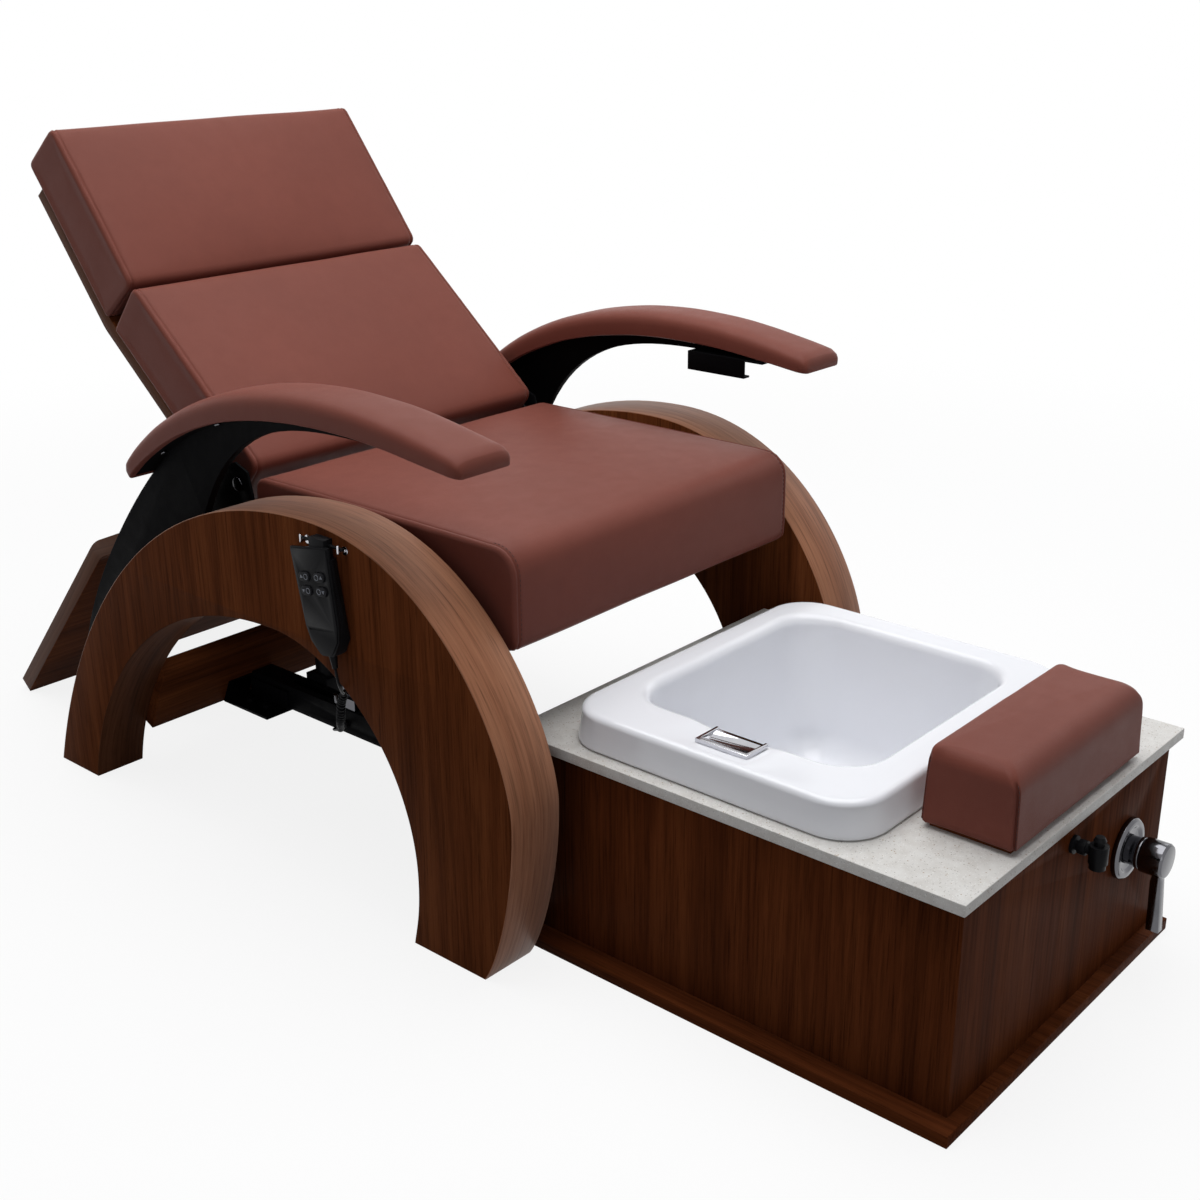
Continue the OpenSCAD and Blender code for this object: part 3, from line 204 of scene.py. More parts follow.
# ---------- materials ----------
class Shader(Nodes):
    """A Principled material with short calls for the nodes that the finishes share."""

    def __init__(self, name, colour, rough, metal=0.0, **sockets):
        self.material = bpy.data.materials.new(name)
        self.material.use_nodes = True
        super().__init__(self.material.node_tree)
        self.bsdf = self.nodes["Principled BSDF"]
        self.bsdf.inputs["Base Color"].default_value = (*colour, 1)
        self.bsdf.inputs["Roughness"].default_value = rough
        self.bsdf.inputs["Metallic"].default_value = metal
        for key, value in sockets.items():
            self.bsdf.inputs[key.replace("_", " ")].default_value = value
        self.object_co = self.put("TexCoord").outputs["Object"]

    def stretched(self, scale, vector):
        return self.put("Mapping", {"Vector": vector, "Scale": scale}).outputs[0]

    def noise(self, scale, detail=4, rough=0.55, vector=None, distortion=0.0):
        inputs = {"Vector": vector or self.object_co, "Scale": scale, "Detail": detail, "Roughness": rough,
                  "Distortion": distortion}
        return self.put("TexNoise", inputs).outputs["Fac"]

    def cells(self, scale, feature):
        inputs = {"Vector": self.object_co, "Scale": scale}
        return self.put("TexVoronoi", inputs, feature=feature).outputs

    def ramp(self, value, stops):
        node = self.put("ValToRGB", {"Fac": value})
        elements = node.color_ramp.elements
        while len(elements) < len(stops):
            elements.new(0.5)
        for element, (place, colour) in zip(elements, stops):
            element.position = place
            element.color = (*colour, 1)
        return node.outputs["Color"]

    def mix(self, share, a, b, mode="MIX"):
        a, b = (c if isinstance(c, bpy.types.NodeSocket) else (*c, 1) for c in (a, b))
        return self.put("Mix", {0: share, 6: a, 7: b}, data_type="RGBA", blend_type=mode).outputs[2]

    def sum(self, a, a_share, b, b_share):
        return self.math("ADD", self.math("MULTIPLY", a, a_share), self.math("MULTIPLY", b, b_share))

    def bump(self, height, strength, distance):
        inputs = {"Height": height, "Strength": strength, "Distance": distance}
        return self.put("Bump", inputs).outputs[0]

    def join(self, **sockets):
        for key, value in sockets.items():
            self.links.new(value, self.bsdf.inputs[key.replace("_", " ")])
        return self.material


def times(colour, factor):
    return tuple(min(1, c * factor) for c in colour)


ALONG, ACROSS = 1.6, 34     # scales of the wood's noise along and across the grain


def grain_scale(axis, along, across):
    return tuple(ALONG * along if own == axis else ACROSS * across for own in "XYZ")


def walnut(name, axis, tones, gloss=0.006, attribute=None, sheen=0.0):
    """Walnut veneer: broad bands, fine streaks and pores, all drawn out along the grain."""
    rough = 0.42
    dark, mid, light = tones
    s = Shader(name, mid, rough, Specular_IOR_Level=gloss, Sheen_Weight=sheen, Sheen_Roughness=0.4)
    vector = s.object_co
    if attribute:
        vector = s.put("Attribute", attribute_name=attribute).outputs["Vector"]
    bands = s.noise(1.0, 4, 0.55, s.stretched(grain_scale(axis, 0.85, 0.85), vector), 0.45)
    streaks = s.noise(1.0, 6, 0.66, s.stretched(grain_scale(axis, 4.4, 6.5), vector), 0.15)
    pores = s.noise(1.0, 3, 0.6, s.stretched(grain_scale(axis, 9, 16), vector))
    base = s.ramp(bands, [(0.26, dark), (0.48, mid), (0.78, light)])
    fine = s.ramp(streaks, [(0.34, (0.54, 0.51, 0.49)), (0.50, (0.93, 0.91, 0.89)),
                            (0.68, (1.16, 1.14, 1.12))])
    colour = s.mix(0.80, base, fine, "MULTIPLY")
    specks = s.ramp(pores, [(0.30, (0.45, 0.42, 0.40)), (0.44, (1, 1, 1))])
    colour = s.mix(0.75, colour, specks, "MULTIPLY")
    return s.join(Base_Color=colour, Roughness=s.grey(streaks, rough + 0.08, rough - 0.05),
                  Normal=s.bump(s.sum(pores, 0.7, streaks, 0.5), 0.25, 0.0004))


def leather(name, colour, rough=0.44):
    """Smooth upholstery leather: fine pebble grain, faint creases and slightly uneven dye."""
    s = Shader(name, colour, rough, Specular_IOR_Level=0.09, Sheen_Weight=0.05, Sheen_Roughness=0.40,
               Sheen_Tint=(0.96, 0.93, 0.95, 1))
    pebble = s.grey(s.cells(620, "DISTANCE_TO_EDGE")["Distance"], 0.0, 1.0, 0.0, 0.22)
    creases = s.noise(140, 5, 0.6)
    cloud = s.noise(3.2, 4, 0.5)
    dye = s.noise(38, 5, 0.65)
    tint = s.mix(s.grey(cloud), times(colour, 0.90), times(colour, 1.08))
    tint = s.mix(s.grey(dye, 0.0, 0.34, 0.35, 0.75), tint, times(colour, 0.80))
    rough_map = s.grey(s.sum(dye, 0.6, cloud, 0.4), rough - 0.05, rough + 0.07)
    return s.join(Base_Color=tint, Roughness=rough_map,
                  Normal=s.bump(s.sum(pebble, 0.6, creases, 0.9), 0.32, 0.0003))


def powder_black(name, rough=0.50):
    """Powder-coated steel: orange peel and fine sparkle on black."""
    s = Shader(name, (0.004, 0.004, 0.0045), rough, Specular_IOR_Level=0.015)
    peel = s.noise(420, 3, 0.6)
    sparkle = s.ramp(s.noise(1500, 2, 0.5), [(0.66, (0.0035, 0.0035, 0.004)), (0.80, (0.03, 0.03, 0.033))])
    rough_map = s.grey(s.noise(60, 3), rough - 0.06, rough + 0.08)
    return s.join(Base_Color=sparkle, Roughness=rough_map, Normal=s.bump(peel, 0.35, 0.0004))


def plastic_black(name, rough=0.34, colour=(0.008, 0.008, 0.009)):
    s = Shader(name, colour, rough, Specular_IOR_Level=0.05)
    grain = s.noise(900, 2, 0.5)
    smudge = s.noise(24, 4, 0.6)
    return s.join(Base_Color=s.mix(s.grey(smudge, 0.0, 0.5, 0.4, 0.8), colour, times(colour, 1.9)),
                  Roughness=s.grey(smudge, rough - 0.05, rough + 0.10),
                  Normal=s.bump(grain, 0.12, 0.0002))


def chrome(name, rough=0.07, colour=(0.52, 0.52, 0.55)):
    s = Shader(name, colour, rough, 1.0)
    smear = s.noise(45, 4, 0.6)
    share = s.grey(smear, 0.0, 1.0, 0.35, 0.75)
    return s.join(Roughness=s.grey(smear, rough, rough + 0.07, 0.4, 0.8),
                  Base_Color=s.mix(share, times(colour, 1.08), times(colour, 0.92)))


def quartz(name):
    """Engineered stone: pale ground with brown, grey and glassy flecks."""
    s = Shader(name, (0.62, 0.60, 0.57), 0.36, Specular_IOR_Level=0.25)
    colour = s.ramp(s.noise(55, 5, 0.6), [(0.35, (0.575, 0.555, 0.525)), (0.65, (0.655, 0.645, 0.620))])
    for scale, limit, fleck in ((520, 0.07, (0.30, 0.27, 0.24)), (380, 0.04, (0.36, 0.27, 0.19)),
                                (640, 0.16, (0.76, 0.76, 0.74)), (460, 0.10, (0.48, 0.47, 0.46))):
        cells = s.cells(scale, "F1")
        parts = s.put("SeparateColor", {"Color": cells["Color"]})
        chosen = s.math("LESS_THAN", parts.outputs[0], limit)
        near = s.math("LESS_THAN", cells["Distance"], 0.34)
        colour = s.mix(s.math("MULTIPLY", chosen, near), colour, fleck)
    return s.join(Base_Color=colour, Roughness=s.grey(s.noise(90, 3), 0.28, 0.42))


def acrylic(name):
    s = Shader(name, (0.82, 0.83, 0.87), 0.14, Specular_IOR_Level=0.30, Coat_Weight=0.2, Coat_Roughness=0.06)
    cloud = s.noise(2.5, 3, 0.5)
    return s.join(Base_Color=s.mix(s.grey(cloud), (0.81, 0.82, 0.86), (0.83, 0.84, 0.875)),
                  Roughness=s.grey(s.noise(30, 4), 0.10, 0.19))


def plain(name, colour, rough):
    s = Shader(name, colour, rough)
    cloud = s.noise(70, 4, 0.6)
    return s.join(Base_Color=s.mix(s.grey(cloud), times(colour, 0.88), times(colour, 1.12)),
                  Roughness=s.grey(cloud, rough - 0.05, rough + 0.06))


# dark, middle and light wood of each kind of face
FACE_TONES = ((0.069, 0.0190, 0.0061), (0.121, 0.0343, 0.0110), (0.184, 0.0566, 0.0187))
# rim tones: the rim's own grain, made much lighter than the faces as painted sheen from the light above
RIM_PAINTED_SHEEN_TONES = ((0.235, 0.092, 0.046), (0.340, 0.145, 0.076), (0.450, 0.215, 0.122))
# edge tones: the bent panels' own ply edges, and also painted shade on the faces inside the arches' openings
PLY_EDGE_AND_PAINTED_SHADE_TONES = ((0.060, 0.0210, 0.0095), (0.100, 0.0370, 0.0175), (0.150, 0.0600, 0.0300))
CABINET_TONES = ((0.056, 0.0151, 0.0049), (0.099, 0.0264, 0.0085), (0.156, 0.0450, 0.0142))
LEATHER = (0.170, 0.0495, 0.0350)

MATERIAL = {
    "face": walnut("walnut_face", "Z", FACE_TONES),
    # rim wood with its grain along the curve, lightened as painted sheen
    "rim": walnut("walnut_rim_painted_sheen", "X", RIM_PAINTED_SHEEN_TONES, 0.11, "grain", 0.28),
    # darker copy of the rim wood: painted shade for the faces inside the arches' openings
    "inner": walnut("walnut_inner_painted_shade", "X", PLY_EDGE_AND_PAINTED_SHADE_TONES, 0.006, "grain"),
    "cabinet": walnut("walnut_cabinet", "Z", CABINET_TONES),
    "board": walnut("walnut_board", "Y", CABINET_TONES),
    "panel": walnut("walnut_panel", "X", FACE_TONES),
    "ply_edge": walnut("ply_edge", "X", PLY_EDGE_AND_PAINTED_SHADE_TONES, 0.05, "grain"),
    "leather": leather("leather", LEATHER),
    "thread": plain("thread", (0.050, 0.016, 0.013), 0.7),
    "steel": powder_black("powder_black"),
    "plastic": plastic_black("plastic_black"),
    "rubber": plastic_black("cord_black", 0.42),
    "chrome": chrome("chrome"),
    # chrome with its colour lowered as painted dark reflection of dark surroundings
    "chrome_painted_dark_reflection": chrome("chrome_painted_dark_reflection", 0.10, (0.12, 0.12, 0.13)),
    "quartz": quartz("quartz"),
    "acrylic": acrylic("acrylic"),
    "button": plastic_black("button_black", 0.30, (0.014, 0.014, 0.016)),
    "grey": plain("pipe_grey", (0.42, 0.42, 0.43), 0.5),
    "mark": plain("button_mark", (0.11, 0.12, 0.15), 0.35),
}


# ---------- mesh helpers ----------
def add_object(name, mesh, *materials):
    for material in materials:
        mesh.materials.append(MATERIAL[material])
    return add(name, mesh)


def smooth(mesh, angle=None):
    for polygon in mesh.polygons:
        polygon.use_smooth = True
    if angle is not None:
        mesh.set_sharp_from_angle(angle=math.radians(angle))


def apply_modifiers(thing):
    bpy.context.view_layer.update()
    deps = bpy.context.evaluated_depsgraph_get()
    mesh = bpy.data.meshes.new_from_object(thing.evaluated_get(deps))
    thing.modifiers.clear()
    thing.data = mesh


def bezier(a, b, c, d, n):
    out = []
    for i in range(n):
        t = i / n
        k = ((1 - t) ** 3, 3 * (1 - t) ** 2 * t, 3 * (1 - t) * t * t, t ** 3)
        out.append(tuple(sum(w * p[axis] for w, p in zip(k, (a, b, c, d))) for axis in (0, 1)))
    return out


def curve(points, counts):
    """Cubic curves through every third point, with their handles between, each in its count of steps."""
    out = []
    for k, count in enumerate(counts):
        out += bezier(*points[3 * k:3 * k + 4], count)
    return out + [points[-1]]


def ways_along(points):
    """How far along its line each point lies."""
    at = [0.0]
    for p, q in zip(points, points[1:]):
        at.append(at[-1] + (q - p).length)
    return at


def resample(points, step):
    """Points about step apart along a line, its corners kept only roughly."""
    pts = [Vector(p) for p in points]
    at = ways_along(pts)
    count = max(2, round(at[-1] / step))
    out, k = [], 0
    for i in range(count + 1):
        s = at[-1] * i / count
        while k < len(at) - 2 and at[k + 1] < s:
            k += 1
        f = (s - at[k]) / max(at[k + 1] - at[k], 1e-9)
        out.append(pts[k].lerp(pts[k + 1], f))
    return out


def heading(angle):
    return Vector((math.cos(angle), math.sin(angle)))


def right_of(way):
    """The vector turned a quarter clockwise: out of an anticlockwise outline."""
    return Vector((way.y, -way.x))


def rounded(corners, step):
    """Closed outline from (u, v, radius) corners, anticlockwise, with arcs and points about step apart.
    Gives for each point its place, a share that is 0 at the ends of its straight stretch and 1 in its
    middle, and the number of its stretch."""
    pts, mids, kinds = [], [], []
    n = len(corners)
    cuts = []
    for i, (u, v, r) in enumerate(corners):
        p = Vector((u, v))
        a = Vector(corners[i - 1][:2])
        b = Vector(corners[(i + 1) % n][:2])
        d0, d1 = (a - p).normalized(), (b - p).normalized()
        half = math.acos(max(-1, min(1, d0.dot(d1)))) / 2
        reach = r / math.tan(half)
        centre = p + (d0 + d1).normalized() * (r / math.sin(half))
        cuts.append((p + d0 * reach, p + d1 * reach, centre, r))
    for i, (start, end, centre, r) in enumerate(cuts):
        a0 = math.atan2(*(start - centre).yx)
        a1 = math.atan2(*(end - centre).yx)
        while a1 < a0:
            a1 += 2 * math.pi
        arc_n = max(3, round((a1 - a0) * r / step))
        for k in range(arc_n):
            a = a0 + (a1 - a0) * k / arc_n
            pts.append(centre + heading(a) * r)
            mids.append(0.0)
            kinds.append(i)
        nxt = cuts[(i + 1) % n][0]
        line_n = max(2, round((nxt - end).length / step))
        for k in range(line_n):
            f = k / line_n
            pts.append(end.lerp(nxt, f))
            mids.append(4 * f * (1 - f))
            kinds.append(i)
    return pts, mids, kinds


def outward(points):
    """Unit normals of an anticlockwise closed outline."""
    n = len(points)
    return [right_of((points[(i + 1) % n] - points[i - 1]).normalized()) for i in range(n)]


def build(name, verts, faces, *materials):
    """An object of plain geometry with its faces turned outwards."""
    mesh = bpy.data.meshes.new(name)
    mesh.from_pydata([tuple(v) for v in verts], [], faces)
    bm = bmesh.new()
    bm.from_mesh(mesh)
    bmesh.ops.recalc_face_normals(bm, faces=bm.faces)
    bm.to_mesh(mesh)
    bm.free()
    return add_object(name, mesh, *materials)


def bands(rows, n, start=0):
    """Quads between neighbouring rows of n points each; every row is a closed ring."""
    faces = []
    for row in range(start, start + (rows - 1) * n, n):
        for j in range(n):
            a, b = row + j, row + (j + 1) % n
            faces.append((a, b, b + n, a + n))
    return faces


def skin(name, rings, material, close=True, angle=None):
    """A smooth surface through rings of equal length, with a fan at both ends."""
    n = len(rings[0])
    verts = [p for ring in rings for p in ring]
    faces = bands(len(rings), n)
    if close:
        for base, ring in ((0, rings[0]), ((len(rings) - 1) * n, rings[-1])):
            centre = len(verts)
            verts.append(sum((Vector(p) for p in ring), Vector()) / n)
            faces += [(centre, base + (j + 1) % n, base + j) for j in range(n)]
    thing = build(name, verts, faces, material)
    smooth(thing.data, angle)
    return thing


def slab(name, outline, x0, x1, materials, edge=0.0012):
    """Prism of a side-view outline, as (y, z), from x0 to x1 along X, with rounded long edges. Its ends
    have the first material and its walls the second. A point's grain attribute, which the wood's grain
    follows on the walls, is its way along the outline, its x and 0."""
    pts = [Vector(p) for p in outline]
    if sum(p.x * q.y - q.x * p.y for p, q in zip(pts, pts[1:] + pts[:1])) < 0:
        pts.reverse()
    normals = corner_normals(pts)
    way = ways_along(pts)
    rings, grain = [], []
    for x, inset in ((x0, 1), (x0 + edge * 0.3, 0.3), (x0 + edge, 0),
                     (x1 - edge, 0), (x1 - edge * 0.3, 0.3), (x1, 1)):
        rings.append([(x, p.x - n.x * inset * edge, p.y - n.y * inset * edge) for p, n in zip(pts, normals)])
        grain += [(w, x, 0.0) for w in way]
    count = len(pts)
    verts = [p for ring in rings for p in ring]
    faces = bands(len(rings), count)
    slots = [1] * len(faces)
    for base in (0, (len(rings) - 1) * count):
        flat = [Vector((0, *verts[base + j][1:])) for j in range(count)]
        for triangle in tessellate_polygon([flat]):
            faces.append(tuple(base + k for k in triangle))
            slots.append(0)
    thing = build(name, verts, faces, *materials)
    thing.data.polygons.foreach_set("material_index", slots)
    layer = thing.data.attributes.new("grain", "FLOAT_VECTOR", "POINT")
    layer.data.foreach_set("vector", [c for v in grain for c in v])
    smooth(thing.data, 40)
    return thing


def corner_normals(pts):
    """Outward mitre vectors of an anticlockwise outline, so that an inset keeps its width at corners."""
    out = []
    n = len(pts)
    for i in range(n):
        t0 = (pts[i] - pts[i - 1]).normalized()
        t1 = (pts[(i + 1) % n] - pts[i]).normalized()
        n0, n1 = right_of(t0), right_of(t1)
        m = (n0 + n1).normalized()
        out.append(m / max(0.5, m.dot(n0)))
    return out


BODY_SLOTS = {
    "cabinet": "walnut_veneer", "board": "walnut_veneer", "panel": "walnut_veneer", "steel": "black_steel",
    "plastic": "black_plastic", "rubber": "black_plastic", "chrome": "chrome", "chrome_painted_dark_reflection": "chrome",
    "quartz": "quartz", "button": "button_grey", "grey": "grey_plastic",
}
BREAK_ANGLE = 30            # edges sharper than this are broken


def refined(node, material, edge, segments=2):
    """A copy of a CAD node with its edges broken, which then stands for the node."""
    source = frame["nodes"][node]
    mesh = source.data.copy()
    mesh.name = node + "_fine"
    mesh.materials.clear()
    bm = bmesh.new()
    bm.from_mesh(mesh)
    bmesh.ops.remove_doubles(bm, verts=bm.verts, dist=1e-5)
    bmesh.ops.dissolve_limit(bm, angle_limit=math.radians(0.5), verts=bm.verts, edges=bm.edges)
    bm.to_mesh(mesh)
    bm.free()
    thing = add_object(node + "_fine", mesh, material)
    bevel = thing.modifiers.new("edge", "BEVEL")
    bevel.width = edge * MM
    bevel.segments = segments
    bevel.limit_method = "ANGLE"
    bevel.angle_limit = math.radians(BREAK_ANGLE)
    apply_modifiers(thing)
    smooth(thing.data, 32)
    return place(thing, source["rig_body"], BODY_SLOTS[material], node)


def place(thing, body, slot, *nodes):
    """Rides the piece on its body and hides the CAD nodes that it stands for; the slot is not used."""
    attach(thing, body)
    if nodes:
        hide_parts(*nodes)
    return thing


# ---------- sizes, in metres ----------
def span(node, axis):
    """Where a CAD node begins and ends along an axis, to the nearest 0.01 mm."""
    return [round(corner["xyz".index(axis)], 5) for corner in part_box(node)]


def half_span(node, axis):
    """Half a CAD node's size along an axis and the middle of it."""
    low, high = span(node, axis)
    return (high - low) / 2, (high + low) / 2


SIDES = ((-1, "right"), (1, "left"))
ARCH_IN, ARCH_X = span("side_arch_left", "x")
ARCH_MID = (ARCH_IN + ARCH_X) / 2
SEAT_HALF = span("seat_cushion", "x")[1]
SEAT_FRONT, SEAT_REAR = span("seat_cushion", "y")
SEAT_LOW = span("seat_cushion", "z")[0]
SEAT_T = 0.130
BACK_HALF, BACK_T = span("back_cushion_upper", "x")[1], 0.092
KNEE = Vector((0.535, 0.703))
SLOPE_LOW, SLOPE_UP = math.radians(40.5), math.radians(52.3)
BACK_LOW_L, BACK_UP_L, BACK_OVER = 0.355, 0.226, 0.039
PANEL_T = 0.024
KNEE_GAP = 0.020
BACK_LIFT = 0.0003
SLAB_TOP = span("countertop", "z")[1]
RIM_TOP = span("basin", "z")[1]


# ---------- wooden arches ----------
ARCH_OUTER = ((0.642, 0), (0.554, 0.263), (0.334, 0.539), (-0.021, 0.539), (-0.264, 0.539),
              (-0.367, 0.317), (-0.367, 0.230), (-0.367, 0.136), (-0.335, 0.030), (-0.312, 0))
ARCH_INNER = ((0.542, 0), (0.509, 0.160), (0.352, 0.373), (0.064, 0.373), (-0.072, 0.373),
              (-0.197, 0.252), (-0.197, 0.096), (-0.197, 0.046), (-0.189, 0.025), (-0.184, 0))
OPENING_MIDDLE = Vector((0.17, 0.10))


def make_arches():
    """Flat faces in face wood, the outer rim in rim wood made lighter as painted sheen and the opening's own
    faces in darker wood as painted shade.
    """
    outline = curve(ARCH_OUTER, (44, 44, 22)) + curve(ARCH_INNER, (44, 44, 12))[::-1]
    for side, hand in SIDES:
        node = "side_arch_" + hand
        x0, x1 = sorted((side * ARCH_IN, side * ARCH_X))
        arch = slab(node + "_veneered", outline, x0, x1, ("face", "rim", "inner"))
        # rim faces that look into the opening take the darker wood as painted shade
        for polygon in arch.data.polygons:
            inward = OPENING_MIDDLE - polygon.center.yz
            if polygon.material_index == 1 and inward.dot(polygon.normal.yz) > 0:
                polygon.material_index = 2
        place(arch, "base", "walnut_veneer", node)


# ---------- cushions ----------
def wave(p, scale, seed):
    return noise.noise(Vector(p) / scale + Vector((seed, seed * 0.37, -seed)))


SHOULDER = 0.006            # how far a side's seam stands in from the side
SEAM_FOLD = ((0.0008, 0.0016), (0.0018, 0.0022), (0.0030, 0.0008), (0.0052, -0.0002), (0.0100, 0.0))


def boxed_cushion(name, node, body, corners, bulges, half, to_world, seed):
    """Cushion in three panels: a strip over the front, top and back, and two sides sewn on with a turned
    seam. corners is the side view as (u, v, radius), bulges how far each stretch swells in the middle."""
    pts, mids, kinds = rounded(corners, 0.009)
    normals = outward(pts)
    seam = half - SHOULDER
    # where each ring lies along X, how far it is drawn in (None on a side panel), and its share of the side
    steps = [(half - 0.0006, None, f) for f in (0.30, 0.62, 0.86)] + [(half, SHOULDER * 1.05, 1.0)]
    for k in range(1, 5):
        t = math.radians(90 * k / 4)
        steps.append((seam + SHOULDER * math.cos(t), SHOULDER * (1 - math.sin(t)), 1.0))
    steps += [(seam - back, inset, 1.0) for back, inset in SEAM_FOLD]
    inner = seam - 0.018
    count = max(6, round(inner / 0.014))
    stations = steps + [(inner * (1 - 2 * k / count), 0.0, 1.0) for k in range(count + 1)]
    stations += [(-x, i, f) for x, i, f in reversed(steps)]
    centre = sum(pts, Vector((0, 0))) / len(pts)
    rings = []
    for x, inset, f in stations:
        ring = []
        across = max(0.0, 1 - (x / half) ** 2) ** 0.8
        for p, n, m, kind in zip(pts, normals, mids, kinds):
            if inset is None:
                edge = p - n * SHOULDER * 1.05
                q = centre + (edge - centre) * f
                dip = 0.0015 * math.cos(f * math.pi / 2)
                ring.append(to_world(math.copysign(abs(x) - 0.0015 + dip, x), q.x, q.y))
                continue
            out = -inset + bulges[kind] * (m ** 0.7) * across
            to_seam = abs(abs(x) - seam)
            ripple = math.exp(-to_seam / 0.016) * 0.00035 * wave((p.x, p.y, x * 0.3), 0.016, seed)
            soft = 0.0011 * wave((p.x, p.y, x), 0.11, seed + 3) * min(1, (half - abs(x)) / 0.03)
            q = p + n * (out + ripple + soft)
            ring.append(to_world(x, q.x, q.y))
        rings.append(ring)
    cushion = skin(name, rings, "leather")
    place(cushion, body, "leather", node)
    return pts, normals, seam


THREAD_L, THREAD_D, THREAD_LIFT, THREAD_SIDES = 0.0040, 0.0008, 0.0006, 6
SEAT_PITCH = 0.0062
THREAD_SHAPE = ((-0.5, 0.25), (-0.36, 0.85), (0, 1.0), (0.36, 0.85), (0.5, 0.25))   # way along it, thickness


def stitches(name, body, points, normals, pitch):
    """A row of short threads along a line of points."""
    line = resample(points, pitch)
    verts, faces = [], []
    total = len(line)
    for i in range(total - 1):
        mid = (line[i] + line[i + 1]) / 2
        d = (line[i + 1] - line[i]).normalized()
        n = normals[min(len(normals) - 1, round(i / max(1, total - 1) * (len(normals) - 1)))]
        n = (n - d * n.dot(d)).normalized()
        b = d.cross(n)
        start = len(verts)
        for s, r in THREAD_SHAPE:
            for k in range(THREAD_SIDES):
                t = 2 * math.pi * k / THREAD_SIDES
                verts.append(mid + d * s * THREAD_L + n * (THREAD_LIFT + THREAD_D / 2 * r * math.sin(t))
                             + b * THREAD_D / 2 * r * math.cos(t))
        faces += bands(len(THREAD_SHAPE), THREAD_SIDES, start)
        faces.append(tuple(range(start, start + THREAD_SIDES)))
        faces.append(tuple(reversed(range(len(verts) - THREAD_SIDES, len(verts)))))
    row = build(name, verts, faces, "thread")
    smooth(row.data)
    place(row, body, "leather")


def make_seat():
    """Box cushion with a row of stitches up the front beside each side seam."""
    top = SEAT_LOW + SEAT_T
    corners = [(SEAT_FRONT, SEAT_LOW, 0.014), (SEAT_REAR, SEAT_LOW, 0.010), (SEAT_REAR, top, 0.018),
               (SEAT_FRONT, top, 0.034)]
    pts, normals, seam = boxed_cushion("seat_cushion_leather", "seat_cushion", "base", corners,
                                       (0.0, 0.002, 0.009, 0.004), SEAT_HALF, lambda x, u, v: (x, u, v), 1.0)
    front = SEAT_FRONT + 0.004
    for side, hand in SIDES:
        rows = [(p, n) for p, n in zip(pts, normals) if p.x < SEAT_FRONT + 0.05 and p.y > SEAT_LOW + 0.008]
        rows.sort(key=lambda r: (r[0].x > front, r[0].y if r[0].x <= front else r[0].x))
        line = [Vector((side * (seam - 0.005), p.x, p.y)) for p, n in rows]
        out = [Vector((0, n.x, n.y)) for p, n in rows]
        stitches("seat_stitches_" + hand, "base", line, out, SEAT_PITCH)


def on_back(slope):
    """Turns a back cushion's (x, u, v) into a place in the scene."""
    along = heading(slope)
    out = -right_of(along)
    return lambda x, u, v: (x, *(KNEE + along * u + out * (v + BACK_LIFT)))


def make_back():
    """Two cushions, each on its own stretch of the bent panel: u runs along it from the knee, v out."""
    t = BACK_T
    top = BACK_UP_L + BACK_OVER
    upper = [(0.002, 0, 0.006), (top, 0, 0.010), (top, t, 0.012), (0.002, t, 0.012)]
    lower = [(-BACK_LOW_L, 0, 0.008), (-KNEE_GAP, 0, 0.006), (-KNEE_GAP, t, 0.012), (-BACK_LOW_L, t, 0.014)]
    for node, slope, seed, corners in (("back_cushion_upper", SLOPE_UP, 5.0, upper),
                                       ("back_cushion_lower", SLOPE_LOW, 9.0, lower)):
        boxed_cushion(node + "_leather", node, "back", corners, (0.0, 0.003, 0.008, 0.003), BACK_HALF,
                      on_back(slope), seed)


def rounded_rect(a, b, r, arc_n, side_n):
    """Points of a rounded rectangle, always as many, anticlockwise from the +X side."""
    out = []
    centres = [Vector((x * (a - r), y * (b - r))) for x, y in ((1, 1), (-1, 1), (-1, -1), (1, -1))]
    for k, centre in enumerate(centres):
        ways = [math.radians(90 * k + 90 * i / arc_n) for i in range(arc_n + 1)]
        arc = [heading(t) * r for t in ways]
        out += [centre + p for p in arc]
        out += [centre.lerp(centres[(k + 1) % 4], i / (side_n + 1)) + arc[-1] for i in range(1, side_n + 1)]
    return out


FOOT_A = span("footrest_cushion", "x")[1]
FOOT_B, FOOT_Y = half_span("footrest_cushion", "y")
FOOT_Z0, FOOT_Z1 = 0.2963, 0.3875
FOOT_PITCH = 0.0055
FOOT_END_R, FOOT_FRONT_R, FOOT_REAR_R = 0.019, 0.028, 0.007     # roundings of the top's edges
FOOT_TUCK, FOOT_LEAN, FOOT_SWELL, FOOT_CROWN = 0.0030, 0.0030, 0.0030, 0.0024
DART_TOP = 0.88             # share of the height that the darts reach
DART = (0.0035, 0.0021, 0.0002, -0.0010, -0.0006)   # depth of a dart from its middle outwards


def eased(z, radius):
    """How far a rounded top edge has drawn in at a height."""
    over = max(0.0, z - (FOOT_Z1 - radius))
    return radius - math.sqrt(max(0.0, radius ** 2 - over ** 2))


